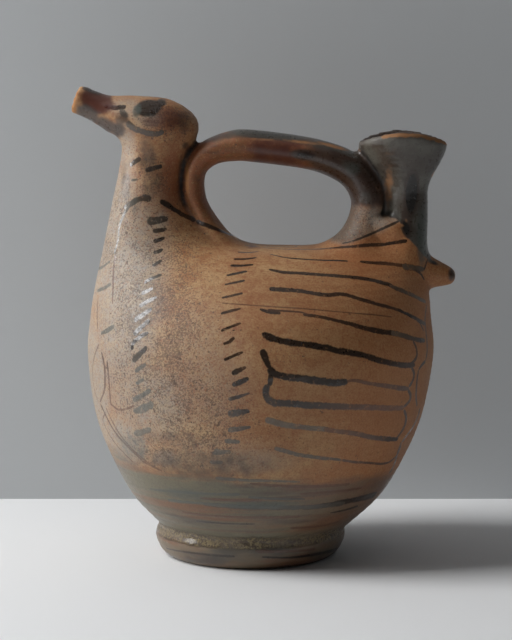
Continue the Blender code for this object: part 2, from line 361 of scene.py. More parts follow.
def trumpet_levels(neck_radius, rim_radius):
    """(middle, radius, lift) of the mouth's rings from the waist to the rim."""
    waist = side_point(share(MOUTH_WAIST[0]), share(MOUTH_WAIST[1]))
    rim = side_point(share(MOUTH_RIM[0]), share(MOUTH_RIM[1]))
    levels = []
    for up, out in flow(TRUMPET, FINE_STEPS):
        lift = MOUTH_RISE * ease(up, MOUTH_RISES_FROM)
        levels.append((mix(waist, rim, up), mix(neck_radius, rim_radius, out), lift))
    return levels


def mouth():
    """The filling mouth: a spreading foot on the rump, a narrow neck and a trumpet with a rounded lip."""
    radius = MOUTH_NECK_DIAMETER / 2
    base_z, waist_z = share(MOUTH_FOOT[1]), share(MOUTH_WAIST[1])
    waist_x = share(MOUTH_WAIST[0])
    rings = []
    for up, spread in flow((*MOUTH_SPREAD, (1.0, 0.0)), FINE_STEPS)[:-1]:
        z = mix(base_z, waist_z, up)
        front = side_point(waist_x - radius * (1 + spread), z)
        half_width = radius * (1 + SIDE_SPREAD * spread)
        rings.append(oval(front, side_point(waist_x + radius, z), half_width, SMALL_SIDES))
    levels = trumpet_levels(radius, MOUTH_DIAMETER / 2)
    rings += [level_ring(middle, r, SMALL_SIDES, lift) for middle, r, lift in levels]
    rim, rim_radius, lift = levels[-1]
    for inset, up in flow(LIP_OUTSIDE, 3):
        middle = rim + side_point(0, up * MOUTH_LIP)
        rings.append(level_ring(middle, rim_radius - inset * MOUTH_LIP, SMALL_SIDES, lift))
    return loft("mouth", rings)


def mouth_passage():
    """The way down through the mouth: a funnel, a narrow bore and an opening into the body."""
    radius = MOUTH_BORE / 2
    waist = side_point(share(MOUTH_WAIST[0]), share(MOUTH_WAIST[1]))
    base = side_point(waist[0] - WALL / 2, share(MOUTH_FOOT[1]) - WALL)
    rings = []
    for up in (0.0, 0.35, 0.7):
        rings.append(level_ring(mix(base, waist, up), radius * mix(PASSAGE_SPREAD, 1, up), SMALL_SIDES))
    levels = trumpet_levels(radius, MOUTH_DIAMETER / 2 - MOUTH_LIP)
    rings += [level_ring(middle, r, SMALL_SIDES, lift) for middle, r, lift in levels]
    rim, rim_radius, lift = levels[-1]
    for out, up in LIP_INSIDE:
        middle = rim + side_point(0, up * MOUTH_LIP)
        rings.append(level_ring(middle, rim_radius + out * MOUTH_LIP, SMALL_SIDES, lift))
    return loft("mouth_passage", rings)


forms["mouth"] = mouth()
hollows["mouth_passage"] = mouth_passage()
print("mouth, mm:", MOUTH_DIAMETER / MM, "at the rim,", MOUTH_NECK_DIAMETER / MM, "at the neck")

# %% [markdown]
# ## The handle
# The handle is a pulled strap that leaves the nape, runs level and hooks down in front of the mouth. Like
# the bird it is lofted between an outer and an inner line, because a bevelled curve could not spread at its
# two roots.

# %% Handle
HANDLE_WIDTH = 19 * MM
# outer x, outer z, inner x, inner z, share of the handle's width
HANDLE_SECTIONS = (
    (-11.0, 69.6, 4.2, 64.0, 1.30),
    (-12.2, 71.6, -0.5, 66.5, 1.22),
    (-13.5, 73.7, -4.1, 68.8, 1.12),
    (-14.8, 77.6, -8.6, 74.7, 1.0),
    (-14.7, 80.2, -9.7, 78.5, 1.0),
    (-14.1, 83.1, -9.5, 81.4, 1.0),
    (-12.4, 86.3, -8.3, 82.9, 1.0),
    (-9.4, 88.7, -6.2, 83.9, 1.0),
    (-5.2, 90.3, -3.5, 84.2, 1.0),
    (-0.1, 90.8, -0.1, 84.1, 1.0),
    (13.9, 88.9, 12.2, 82.4, 1.0),
    (22.8, 85.7, 19.0, 79.4, 1.0),
    (27.6, 80.2, 21.3, 75.7, 1.0),
    (28.6, 76.1, 21.0, 73.8, 1.02),
    (28.4, 73.1, 20.1, 71.2, 1.08),
    (28.4, 70.0, 18.2, 68.5, 1.22),
    (28.4, 67.4, 15.2, 66.8, 1.42),
    (28.4, 64.8, 12.7, 64.4, 1.60),
)


def handle():
    rings = []
    for outer_x, outer_z, inner_x, inner_z, wide in flow(HANDLE_SECTIONS, FINE_STEPS):
        outer = side_point(share(outer_x), share(outer_z))
        inner = side_point(share(inner_x), share(inner_z))
        rings.append(oval(outer, inner, wide * HANDLE_WIDTH / 2, SMALL_SIDES))
    return loft("handle", rings)


forms["handle"] = handle()
print("handle sections:", len(HANDLE_SECTIONS))

# %% [markdown]
# ## The tail
# The tail is only a small rolled cone that was pressed on and droops a little. Rings along its axis, each a
# share of its diameter, give the rounded tip.

# %% Tail
TAIL_LENGTH = 11.5 * MM
TAIL_DIAMETER = 13.5 * MM
TAIL_ROOT = (37.8, 60.5)
TAIL_DROOP = math.radians(10)
# share of the length, share of the diameter
TAIL_TAPER = ((-0.8, 1.5), (-0.3, 1.2), (0.05, 1.0), (0.4, 0.78), (0.7, 0.60), (0.9, 0.42), (1.0, 0.16))


def tail():
    root = side_point(share(TAIL_ROOT[0]), share(TAIL_ROOT[1]))
    along = side_point(math.cos(TAIL_DROOP), -math.sin(TAIL_DROOP)) * TAIL_LENGTH
    upright = side_point(math.sin(TAIL_DROOP), math.cos(TAIL_DROOP)) * TAIL_DIAMETER / 2
    rings = []
    for out, size in flow(TAIL_TAPER, FINE_STEPS):
        middle = root + along * out
        low, high = middle - upright * size, middle + upright * size
        rings.append(oval(low, high, TAIL_DIAMETER / 2 * size, SMALL_SIDES))
    return loft("tail", rings)


forms["tail"] = tail()
print("tail, mm:", TAIL_LENGTH / MM, "long,", TAIL_DIAMETER / MM, "thick")

# %% [markdown]
# ## Luting the parts
# Now the lumps are joined and the hollows cut. A voxel remesh turns the result into one even skin of clay,
# fine enough to be wiped and painted. Search trees remember where each part was, so that later steps can
# ask whether a point belongs to the handle or to the foot.

# %% Put the vessel together
SKIN_GRAIN = 1.1 * MM


def tree_of(piece):
    """A search tree over the faces of a piece."""
    mesh = piece.data
    return BVHTree.FromPolygons([v.co for v in mesh.vertices], [tuple(p.vertices) for p in mesh.polygons])


form_trees = {name: tree_of(form) for name, form in forms.items()}
hollow_trees = [tree_of(hollows["cavity"]), tree_of(hollows["mouth_passage"])]
for form in forms.values():
    combine(vessel, form, "UNION")
for name in ("foot_hollow", "cavity", "mouth_passage"):
    combine(vessel, hollows[name], "DIFFERENCE")
drawn_xs = [v.co.x for v in vessel.data.vertices]
FOOT_X = -(min(drawn_xs) + max(drawn_xs)) / 2
skin = vessel.modifiers.new("Even skin", "REMESH")
skin.mode = "VOXEL"
skin.voxel_size = SKIN_GRAIN
settle(vessel)
print("vessel:", len(vessel.data.vertices), "points; foot's middle at x, mm:", round(FOOT_X / MM, 2))

# %% [markdown]
# ## A wet finger
# A potter wipes a join until its crease becomes a fillet. The same happens when each point of the skin
# moves towards the middle of its neighbours. Blender's Smooth modifier does this with a vertex group, but
# here the weights come from places in the side view, so reading the points as one array is the shorter way.

# %% Read, write and relax the skin


def read_points(piece):
    points = np.empty(len(piece.data.vertices) * 3)
    piece.data.vertices.foreach_get("co", points)
    return points.reshape(-1, 3)


def write_points(piece, points):
    piece.data.vertices.foreach_set("co", points.ravel())
    piece.data.update()


def point_normals(piece):
    normals = np.empty(len(piece.data.vertices) * 3)
    piece.data.vertex_normals.foreach_get("vector", normals)
    return normals.reshape(-1, 3)


def relaxed(piece, points, weights, rounds):
    """The points after some rounds in which each moves to the middle of its neighbours by its weight."""
    ends = np.empty(len(piece.data.edges) * 2, int)
    piece.data.edges.foreach_get("vertices", ends)
    a, b = ends.reshape(-1, 2).T
    count = len(points)
    degree = np.bincount(ends, minlength=count)[:, None]
    points = points.copy()
    for _ in range(rounds):
        sums = [np.bincount(a, points[b, k], count) + np.bincount(b, points[a, k], count) for k in range(3)]
        points += weights[:, None] * (np.stack(sums, 1) / degree - points)
    return points


print("edges to relax along:", len(vessel.data.edges))

# %% [markdown]
# ## Wiping the joins
# The finger went hardest under the handle's rear hook, where clay was also pressed into the groove beside
# the mouth. Everywhere else the skin is only evened, in pairs of rounds, one in and one out, so that thin
# ends don't shrink.

# %% Wipe and press
# x, z, reach in mm from the foot's middle, and how strongly the finger wiped there
WIPED = (
    (-4, 133, 9, 0.29),
    (8, 128, 8, 0.29),
    (40, 131, 12, 0.38),
    (28, 130, 9, 0.32),
    (54, 126, 8.5, 0.95),
    (66, 128, 8, 0.32),
    (72, 120, 4, 0.22),
    (-15, 137, 5, 0.16),
)
WIPES = 110
EVEN_ROUNDS, EVEN_IN, EVEN_OUT = 6, 0.6, 0.62
# x, z, reach along, reach up, how far from the middle plane the clay comes, and how much more per mm
# to the rear
PRESSED_IN = (52.8, 134.5, 10.5, 7.2, 9.9, 0.10)
OUTER_SKIN = 4.5 * MM
FILL_FADES = (0.6, 1.0)
FILL_EVENED, FILL_ROUNDS = 0.5, 6
# how deep a fill is that gets evened in full
DEEP_FILL = 0.6 * MM
# heights between which wiping begins, above the ring that stands on the floor
RIM_KEPT = (0.2 * MM, 1.2 * MM)

points = read_points(vessel)
weights = np.full(len(points), 0.0)
for x, z, reach, strength in WIPED:
    away = np.hypot(points[:, 0] - x * MM, points[:, 2] - z * MM) / (reach * MM)
    weights = np.maximum(weights, strength * np.exp(-(away**2)))
off_the_floor = ease(points[:, 2], *RIM_KEPT)
points = relaxed(vessel, points, weights * off_the_floor, WIPES)
for _ in range(EVEN_ROUNDS):
    points = relaxed(vessel, points, EVEN_IN * off_the_floor, 1)
    points = relaxed(vessel, points, -EVEN_OUT * off_the_floor, 1)
x, z, reach_x, reach_z, half_width, flare = PRESSED_IN
normals = point_normals(vessel)
r = np.hypot((points[:, 0] / MM - x) / reach_x, (points[:, 2] / MM - z) / reach_z)
outer = (np.abs(points[:, 1]) > OUTER_SKIN) & (normals[:, 1] * points[:, 1] > 0)
pressed = (half_width + flare * (points[:, 0] / MM - x)) * MM - np.abs(points[:, 1])
fill = np.maximum(pressed, 0) * (1 - ease(r, *FILL_FADES)) * outer
points[:, 1] += np.sign(points[:, 1]) * fill
points = relaxed(vessel, points, FILL_EVENED * ease(fill, 0, DEEP_FILL), FILL_ROUNDS)
write_points(vessel, points)
print("wiped points:", int((weights > 0.05).sum()), " deepest fill, mm:", round(float(fill.max()) / MM, 1))

# %% [markdown]
# ## The hand in it
# A wheel and two hands leave small faults: slow waves in the wall, a rim that isn't quite true, fine rings.
# A Displace modifier could push the skin by a texture, but the faults differ from part to part, so each
# point first learns which part it belongs to. Noise from mathutils is the same on every run, so the vessel
# is too.

# %% Which part a point belongs to
# distances within which a point belongs in full, and beyond which not at all
FORM_REACH = (0.6 * MM, 3.0 * MM)
HOLLOW_REACH = (0.9 * MM, 1.6 * MM)


def noise_at(points, size, seed):
    """Smooth noise from -1 to 1 at each point, with bumps about this size."""
    shift = Vector((seed * 7.3, seed * -3.1, seed * 5.7))
    return np.array([noise.noise(Vector(p) / size + shift) for p in points])


def member(tree, points, full, none):
    """1 on the surface of a form, 0 away from it."""
    away = np.array([tree.find_nearest(Vector(p))[3] for p in points])
    return 1 - ease(away, full, none)


def belonging(points):
    """How far the points belong to each joined form, by its name, and to the hollow."""
    shares = {name: member(tree, points, *FORM_REACH) for name, tree in form_trees.items()}
    return shares, np.maximum.reduce([member(tree, points, *HOLLOW_REACH) for tree in hollow_trees])


points, normals = read_points(vessel), point_normals(vessel)
on_form, inside = belonging(points)
print("points of the hollow:", int((inside > 0.5).sum()))
print("points of the handle:", int((on_form["handle"] > 0.5).sum()))

# %% [markdown]
# The waves move the skin by a quarter of a millimetre, the turning rings by far less, and only where the
# wheel could reach. Small chips nibble the rim of the mouth. The ring that stands on the floor stays flat.

# %% Waves, rings and a nibbled rim
WAVE, WAVE_SIZE = 0.28 * MM, 34 * MM
RIPPLE_SHARE, RIPPLE_SIZE = 0.3, 9 * MM
RING_DEPTH = 0.05 * MM
RING_SPACING = 2.6 * MM
RING_DRIFT = 40 * MM
CHIP_DEPTH, CHIP_SIZE = 0.9 * MM, 3.2 * MM
# only noise deeper than this makes a chip, and only so far below and above the rim's level
UNCHIPPED = 0.25
CHIPS_BELOW, CHIPS_ABOVE = 3 * MM, 2 * MM
# heights between which the waves begin, above the ring that stands on the floor
WAVES_BEGIN = (0.5 * MM, 4 * MM)

ripple = noise_at(points, RIPPLE_SIZE, 2) * WAVE * RIPPLE_SHARE
wave = noise_at(points, WAVE_SIZE, 1) * WAVE + ripple
turned = np.maximum(1 - on_form["handle"] - on_form["tail"], 0) * (1 - inside)
phase = points[:, 2] * 2 * math.pi / RING_SPACING + noise_at(points, RING_DRIFT, 3) * 2
rings = np.sin(phase) * RING_DEPTH * turned
rim_level = share(MOUTH_RIM[1])
near_rim = ease(points[:, 2], rim_level - CHIPS_BELOW, rim_level + CHIPS_ABOVE) * on_form["mouth"]
chips = np.minimum(noise_at(points, CHIP_SIZE, 4) + UNCHIPPED, 0) * CHIP_DEPTH * near_rim
push = (wave + rings) * ease(points[:, 2], *WAVES_BEGIN) + chips
write_points(vessel, points + normals * push[:, None])
print("deepest push, mm:", round(float(np.abs(push).max()) / MM, 2))

# %% [markdown]
# Nobody sees the inside, so it can be coarser. Decimate takes a vertex group that says where it may thin
# the mesh, and the top of the mouth's passage is left out of it, because one can look into that.

# %% Thin out the hidden inside
KEPT_SHARE = 0.62
SEEN_DEPTH = (9 * MM, 14 * MM)
NEARLY = 0.99
hidden = vessel.vertex_groups.new(name="hidden inside")
deep = ease(rim_level - points[:, 2], *SEEN_DEPTH)
hidden_share = inside * np.maximum(deep, 1 - on_form["mouth"])
for weight in (0.5, 1.0):
    hidden.add(np.nonzero(hidden_share >= weight * NEARLY)[0].tolist(), weight, "REPLACE")
thin = vessel.modifiers.new("Thin out", "DECIMATE")
thin.ratio = KEPT_SHARE
thin.vertex_group = hidden.name
settle(vessel)
vessel.vertex_groups.clear()
xs = read_points(vessel)[:, 0]
triangles = sum(len(p.vertices) - 2 for p in vessel.data.polygons)
print("triangles:", triangles, " length, mm:", round(float(np.ptp(xs)) / MM, 1))

# %% [markdown]
# ## Reading places off a picture
# The painting was read off one picture of the vessel, so its places stay in that picture's pixels,
# counted from the top left. A ray from the picture's eye through a pixel meets the clay where the brush
# did. Where the eye stood follows from the ellipses of foot and rim, and the camera stands there again at
# the end. A ray that misses the clay stops at the vessel's middle plane, which lets an outline run on
# beyond the edge. Placing each line by hand in the viewport would be the usual way, but a pixel can be
# checked against the picture at any time.

# %% The picture's eye
PICTURE_WIDTH, PICTURE_HEIGHT = 512, 640
FOCAL_LENGTH_PX = 2195
CAMERA_PLACE = Vector((-3.27, -900, 200)) * MM
CAMERA_DOWN = math.radians(6.52)
CAMERA_TURN = Euler((math.radians(90) - CAMERA_DOWN, 0, 0))

vessel.data.transform(Matrix.Translation((FOOT_X, 0, 0)))
clay = tree_of(vessel)


def seen(pixel_x, pixel_y):
    """Where a pixel lies on the clay, across and up on the side view, and how far from the eye that is."""
    right, up = pixel_x - PICTURE_WIDTH / 2, PICTURE_HEIGHT / 2 - pixel_y
    towards = CAMERA_TURN.to_matrix() @ Vector((right, up, -FOCAL_LENGTH_PX))
    spot = clay.ray_cast(CAMERA_PLACE, towards)[0]
    if spot is None:
        spot = CAMERA_PLACE - towards * CAMERA_PLACE.y / towards.y
    return spot.x, spot.z, spot.y - CAMERA_PLACE.y


def side_view(pixels):
    """Pixels as places on the side view, in metres."""
    return np.array([seen(*pixel)[:2] for pixel in pixels])


x, z, distance = seen(PICTURE_WIDTH / 2, PICTURE_HEIGHT / 2)
print("the picture's middle is", round(distance / MM), "mm away, mm up:", round(z / MM, 1))

# %% [markdown]
# ## The brush lines
# The painter drew each feather with one pull of a loaded brush. Here every pull is a row of pixels, with
# its width in pixels and its tone at both ends: 0 is full dark slip, 1 is slip worn thin and brown, -1 is
# slip that fired grey. An image texture would be the usual way, but a line kept as numbers stays sharp at
# any distance and needs no picture file.

# %% Feathers of the wing
# width and width, tone and tone, then the pixels
FEATHERS = (
    (1.2, 2.6, 0.4, 0.2, (262, 247), (272, 248.5), (300, 249.5), (319, 249), (335, 247.8), (352, 246.5),
        (370, 245), (385, 244.6)),
    (2.2, 2.6, 0.1, 0.1, (383, 244.8), (395, 242.5), (407, 240.6)),
    (1.2, 1, -0.3, -0.5, (266, 246.4), (280, 246.6), (296, 245), (312, 242.5), (326, 239)),
    (1.4, 2.4, 0.2, 0.1, (270, 254), (278, 256), (289, 258), (317, 260), (335, 260.5), (348, 261)),
    (2.6, 3.2, 0.1, 0.5, (360, 261.5), (375, 263), (389, 263.8), (403, 265.6)),
    (4.4, 3.4, -0.8, -0.6, (402, 266), (411, 267.6), (424, 269.3)),
    (1.6, 1.2, 0.2, 0.5, (424, 270), (426, 264), (427.5, 259)),
    (1.8, 1.6, -0.6, 0.3, (414, 269.5), (420, 273), (424.5, 280)),
    (2.8, 3.4, 0.2, 0.1, (269, 269), (274, 270.5), (285, 272.4), (297, 273), (324, 275), (352, 277),
        (373, 280.3), (387, 284), (394, 287)),
    (3.6, 2.6, -0.4, -0.9, (390, 285.6), (403, 291), (412, 295), (420, 299), (426, 302)),
    (4, 2.6, 0.1, 0.3, (269, 289), (286, 290), (300, 291), (310, 292.6), (327, 295), (341, 294),
        (352, 296.5), (360, 299), (375, 303.5), (393, 308.3), (402, 311)),
    (2.2, 3, 0.2, -0.5, (398, 309.8), (413, 317), (425, 324)),
    (1.4, 1.6, 0.4, 0.4, (412, 316), (419, 322), (424, 331)),
    (2, 3.4, 0.1, 0.2, (260, 309), (269, 312), (281, 313.2)),
    (1.8, 1.2, 0.3, 0.5, (268, 310), (284, 311), (297, 311.8), (304, 313), (310, 315.2)),
    (2.2, 4, 0.3, 0.1, (303, 314.5), (315, 316), (330, 319), (345, 322.5), (357, 326), (366, 328.5),
        (380, 331.3), (395, 333.4)),
    (4, 3, -0.9, -0.1, (391, 332.8), (402, 335.2), (408, 337), (416, 339.5), (425, 340.5)),
    (4.6, 4.4, 0, 0, (262, 333), (267, 336), (275, 339), (282, 341), (303, 344), (327, 348), (340, 351.4)),
    (4.4, 3.6, 0, 0.2, (336, 350.4), (350, 352.6), (362, 355), (372, 358), (380, 360.5), (390, 363),
        (398, 364.6), (407, 365.3), (415, 364.8)),
    (5, 3.4, 0, 0, (262, 349), (264, 355), (266.5, 361), (270.5, 370)),
    (4.6, 5.2, 0, 0, (270, 370), (275, 374), (288, 377), (305, 379.2), (325, 381.7), (338, 382.6),
        (348, 381.2)),
    (2, 3.4, 0.9, 0.4, (346, 381.6), (352, 380.4), (360, 381.2), (370, 383.6), (385, 385.8),
        (400, 388.2), (409, 388.6)),
    (6, 5, 0, 0, (268.5, 366.5), (271.5, 371.5), (276, 375.5)),
    (4.6, 3, 0, 0.1, (271.5, 373), (270.5, 379), (269.5, 386)),
    (4.4, 5.2, 0.1, -0.4, (268, 384), (265.6, 391), (267, 397.5), (272, 402), (280, 403.4)),
    (5.2, 3.4, -0.2, 1, (275, 402.6), (283, 403.4), (292, 403.8), (305, 405), (325, 406), (345, 406.7),
        (365, 407.2), (385, 408), (404, 408)),
    (4.4, 3, -0.9, -1, (265, 419), (273, 422), (285, 424.7), (300, 427), (315, 428.7), (329, 429.6)),
    (3, 3.4, 0.9, 0.1, (324, 429.4), (334, 430.8), (350, 432.8), (362, 435), (372, 437.5), (385, 438.8),
        (398, 439.2)),
    (3, 2, -0.9, -0.5, (274, 448), (285, 451), (297, 454.5), (310, 456.5), (325, 458.3), (341, 460)),
    (1.8, 1.6, 0.5, 0.2, (341, 460), (355, 462), (370, 463), (382, 463.8), (390, 461.6), (397, 455),
        (400.5, 448), (401, 442)),
)
print("long feathers:", len(FEATHERS))

# %% [markdown]
# The long feathers end in scallops that join one to the next, with a second line outside them, and a thin
# line marks where the handle's rear root was set on the back.

# %% Scalloped ends
FEATHER_ENDS = (
    (2.2, 2.4, 0.3, 0.2, (413, 341), (416, 347), (417, 354), (415, 360), (411, 363.5)),
    (2.4, 2.4, 0.2, 0.1, (411.5, 367), (414, 373), (413, 380), (409, 387)),
    (2.6, 2.4, 0.2, 0.2, (408, 390), (410.5, 395), (409.5, 401), (404, 407)),
    (2.4, 2.2, 0.3, 0.2, (404, 410), (406, 416), (405.5, 423), (402, 431), (397, 437.6)),
    (1.8, 2.2, 0.4, 0.3, (426.5, 305), (425, 320), (426, 332), (427, 342), (427, 353), (425.5, 361)),
    (3, 2, 0, 0.2, (425.5, 361), (421.5, 365.5), (418.5, 370)),
    (2.2, 2.2, 0.3, 0.2, (418.5, 370), (417, 380), (416, 395), (417, 406)),
    (3, 2, 0.2, 0.2, (420, 408), (418, 416), (414, 425), (408, 434), (402, 442)),
    (2.2, 2.8, 0.3, 0.4, (400.5, 444), (397, 455), (394, 465), (389, 474)),
    (1.2, 1.9, -0.4, -0.3, (342, 243.5), (352, 241.3), (362, 237.6), (374, 232.6), (386, 227), (399, 221)),
    (2.6, 2, 0.1, 0.3, (402, 224), (405.5, 230), (408, 238)),
)
print("scallops and border pulls:", len(FEATHER_ENDS))

# %% [markdown]
# Two columns of short dashes stand for the small feathers: one before the wing, one down the side of the
# breast. Those on the breast fired grey and catch the light. Each is one dab of the brush, thicker where it
# was set down.

# %% Short feathers
SHORT_FEATHERS = (
    (1.2, 1.4, 0.2, 0.1, (244, 245), (252, 246.6), (260, 247)),
    (2, 1.6, 0.1, 0.1, (237.5, 252), (248, 252.6), (258.6, 251.5)),
    (2.4, 2, 0, 0.1, (233.5, 259), (245, 259), (257, 257.5)),
    (2.8, 2.2, 0, 0.1, (230, 265.5), (242, 265.6), (253.5, 264.5)),
    (2, 2.4, 0.1, 0.1, (226.5, 275.6), (236, 273.5), (247, 271)),
    (1.8, 2.4, 0.2, 0.1, (224.5, 284.6), (235, 282.6), (245, 280.2)),
    (1.8, 2.2, 0.2, 0.2, (221.5, 298), (232, 295.6), (243, 293)),
    (2.4, 1.8, 0.1, 0.4, (220.5, 314), (228, 311.6), (241, 308.4)),
    (2, 1.8, -0.2, 0.5, (221, 331), (229, 327.5), (241, 323)),
    (2.6, 2.4, 0.2, 0.3, (223, 344), (229, 342), (234.5, 337.5)),
    (2, 1.8, 0.1, 0.3, (224, 360), (232, 356.6), (243, 352)),
    (4.2, 2.2, 0, 0.4, (231.5, 374), (238, 370.6), (246, 367)),
    (3.4, 3, -0.1, 0.1, (232, 385), (240, 382.2), (249, 377.8)),
    (3.2, 1.6, -0.5, 0.5, (228, 399.5), (238, 397), (250, 393)),
    (5, 3.2, -0.5, -0.1, (227.5, 414), (238, 412.6), (250, 411)),
    (4.2, 1.8, -0.9, -0.3, (227.5, 430), (238, 429), (251, 427)),
    (3.4, 2.4, -0.9, -0.7, (224.5, 441), (232, 441.4), (240, 442)),
    (3.4, 2.6, -0.9, -0.9, (214, 450.6), (222, 451.8), (231, 452)),
    (2.8, 2.6, -1, -1, (210, 462), (216, 462.4), (223, 462)),
    (6, 3.6, -0.5, -0.3, (147, 221.5), (156, 220.6), (168, 218.5)),
    (3.6, 2.6, -0.3, -0.2, (152.5, 231), (160, 230.4), (167, 228.4)),
    (3.6, 2.4, -0.2, 0.1, (153, 241.5), (159, 240), (165, 237.4)),
    (3.4, 2.6, -0.3, -0.1, (153, 253), (158, 251.6), (163, 249)),
    (2.6, 3, -0.4, -0.3, (152, 266), (156, 264), (161.6, 260)),
    (3.4, 2.8, -0.2, -0.5, (144, 283), (151, 279), (161.6, 274.6)),
    (3.2, 2.6, -0.2, -0.3, (141, 294), (147, 291), (153, 288)),
    (3.2, 3, -0.2, -0.3, (139, 306.5), (147, 301.6), (156.5, 297)),
    (3.8, 3.2, -0.1, -0.2, (134, 321), (142, 315.4), (152, 308.5)),
    (3.6, 3.4, -0.1, -0.2, (133.6, 335), (141, 327.6), (150, 320)),
    (3.2, 2.8, 0, -0.2, (131.7, 350), (133.5, 343), (140, 337), (148.5, 332.6)),
    (5, 3.6, -0.4, -0.3, (132.6, 361), (139, 355), (147, 346.6)),
    (3, 2.4, -0.7, -0.8, (135, 372), (140, 368), (146, 364)),
    (2.6, 2.2, -0.9, -0.8, (136, 384), (144, 379)),
    (4, 3, -0.8, -0.7, (133, 400.6), (142, 395.6), (151, 389.6)),
    (4.6, 5.4, -0.9, -0.8, (133.4, 411.6), (143, 408.6), (153.6, 403)),
    (4.6, 3.6, -1, -0.9, (134, 434), (142, 432), (151, 429)),
    (3, 3.6, -0.3, -0.2, (130, 166), (135, 161.6), (141, 158)),
    (3.6, 3, 0.1, 0, (145, 170.6), (154, 168), (162.4, 166)),
    (2, 2, -0.7, -0.7, (131, 180.4), (138, 179.6)),
)
print("short feathers:", len(SHORT_FEATHERS))

# %% [markdown]
# A line round the neck parts it from the breast, the bill has a nostril line and the eye a line beneath.
# The breast carries a worn palmette. One long scratch crosses the wing.

# %% Borders, face, palmette and scratch
BORDERS = (
    (3, 5, -0.6, -0.3, (124, 208), (130, 204.4), (137, 200), (145, 198), (151.5, 199.5)),
    (4, 3.4, 0, 0.1, (159.5, 201), (166, 203.6), (172, 208), (180, 213), (188, 217), (196, 221)),
    (3.4, 1.6, 0.1, 0.2, (196, 221), (203, 224), (212, 227.4), (220, 230.4), (232, 235), (245, 240.4),
        (258, 244.6)),
    (4.4, 3.4, -0.5, -0.4, (127, 121), (131, 126.4), (139, 130.4), (149, 133.4), (158, 134), (164, 131)),
    (3.2, 3.6, 0, -0.2, (104, 106), (112, 107.2), (119, 107.6), (126, 106.4)),
    (3.6, 4, -0.6, -0.8, (120.6, 109), (123.6, 113.6), (128, 116.6)),
    (2.2, 1.6, -0.6, -0.9, (131.7, 203), (124, 214), (119.5, 226), (118, 240), (114, 254)),
)
BREAST_LINES = (
    (2.6, 3.2, -0.9, -1, (97, 291), (104, 288), (111, 284)),
    (2.4, 1.6, -0.9, -1, (98, 269), (104, 266), (110, 261)),
    (1.4, 1.2, 0.7, 0.9, (115, 255), (113.5, 272), (113, 288), (112.5, 304)),
    (2, 1.8, 0.5, 0.8, (101.5, 352), (104.4, 365), (105, 378), (104.4, 390), (100, 402)),
    (1.6, 1.8, 0.5, 0.8, (107, 361), (108.6, 376), (109.8, 392), (110.5, 404)),
    (1.3, 1.3, 0.8, 1, (97.6, 300), (97.2, 315), (97.6, 329)),
    (2.6, 3.4, -0.7, -0.9, (101, 333.6), (107, 330.6), (114.6, 326)),
    (1.4, 1.3, 0.8, 1, (110.5, 404), (120, 410), (134, 406)),
    (2, 1.6, 0.5, 0.9, (100.5, 404), (107, 418), (115, 432), (127, 446), (142, 460)),
    (1.3, 1.3, 0.8, 1, (106, 408), (112, 421), (121, 436), (135, 452), (151, 465)),
    (1.6, 1.6, 0.8, 1, (142, 461), (152, 466), (162, 471)),
    (1.1, 1.1, 0.8, 1, (99, 344), (94.5, 356), (92.5, 372), (94, 388), (98, 401)),
    (1.1, 1, 0.8, 1, (106, 412), (103, 420), (109, 434), (119, 448), (133, 462)),
)
SCRATCH = (
    (1, 1, 1, 1, (222, 303), (262, 306), (300, 308.4), (330, 311), (370, 314.4), (392, 317)),
)
print("borders, breast and scratch:", len(BORDERS) + len(BREAST_LINES) + len(SCRATCH))

# %% [markdown]
# Near the foot the wash was laid on while the pot turned, which left level streaks. Where the handle meets
# neck and mouth the crease is darkened, as painted shade with some dirt. It is noted twice: as a matt line,
# tone 2, and as a soft dark band of painted shade whose reach is given in millimetres.

# %% Streaks of the wash, and shaded creases
STREAKS = (
    (1.6, 2.4, -1, -0.9, (150, 489), (180, 492), (210, 494), (240, 494.5)),
    (2.6, 1.4, -0.9, -1, (168, 500), (190, 502.5), (212, 504)),
    (2, 1.4, -0.8, -0.6, (248, 497), (275, 499), (305, 499)),
    (1.8, 2.4, 1, 1, (200, 498), (230, 500.5), (262, 501)),
    (2, 1.6, 1, 0.8, (300, 494), (330, 492), (362, 488)),
    (1.6, 2.4, 0.9, 1, (182, 512), (215, 516), (250, 517.5), (300, 516.5)),
    (1.6, 1.2, -0.4, -0.2, (196, 521), (225, 523.5), (255, 524)),
    (1.4, 2.2, 0.2, 0.1, (330, 513), (345, 510), (358, 506)),
    (1.2, 2, 0.3, 0.1, (166, 548), (182, 551.5), (205, 554.5), (235, 556.5)),
    (2.4, 1.6, 0.9, 1, (255, 551), (285, 551.5), (315, 549)),
    (1.4, 2.6, 0, 0.1, (262, 557), (290, 557.5), (322, 553), (338, 548)),
    (3, 4, -0.8, -0.5, (203, 504), (235, 506.5), (270, 507.5), (310, 507), (345, 503)),
    (2.2, 1.8, 0, 0, (240, 507), (252, 508), (266, 508)),
    (3, 6, 0.2, 0, (316, 506), (340, 502.5), (358, 499), (376, 494)),
    (1.6, 2.2, 1, 1, (250, 483.5), (280, 486), (315, 486.5), (350, 484)),
    (2.5, 1.5, -0.9, -1, (215, 478), (240, 480), (275, 481), (300, 482)),
    (2.6, 2, 1, 1, (290, 528), (320, 526), (338, 522)),
    (3, 2, -0.9, -1, (212, 453), (222, 453), (230, 452)),
)
# matt lines that paint the shade in the creases
CREASE_SHADE_LINES = (
    (1.8, 3, 2, 2, (366, 158), (371, 164), (376.5, 173), (381, 183), (383.6, 194), (384, 205), (382, 214)),
    (2, 2.4, 2, 2, (191, 148), (186, 156), (183, 168), (181.5, 185), (184, 203)),
)
# soft dark bands of painted shade along the creases: reach in mm, then the pixels
CREASE_SHADES = (
    (1, (362, 152), (369, 160), (376, 171), (381, 182), (384, 194), (384.4, 205), (382, 215)),
    (1.5, (196, 143), (188, 154), (183, 170), (181.5, 188), (184, 204)),
)
print("streaks:", len(STREAKS), " creases:", len(CREASE_SHADES))

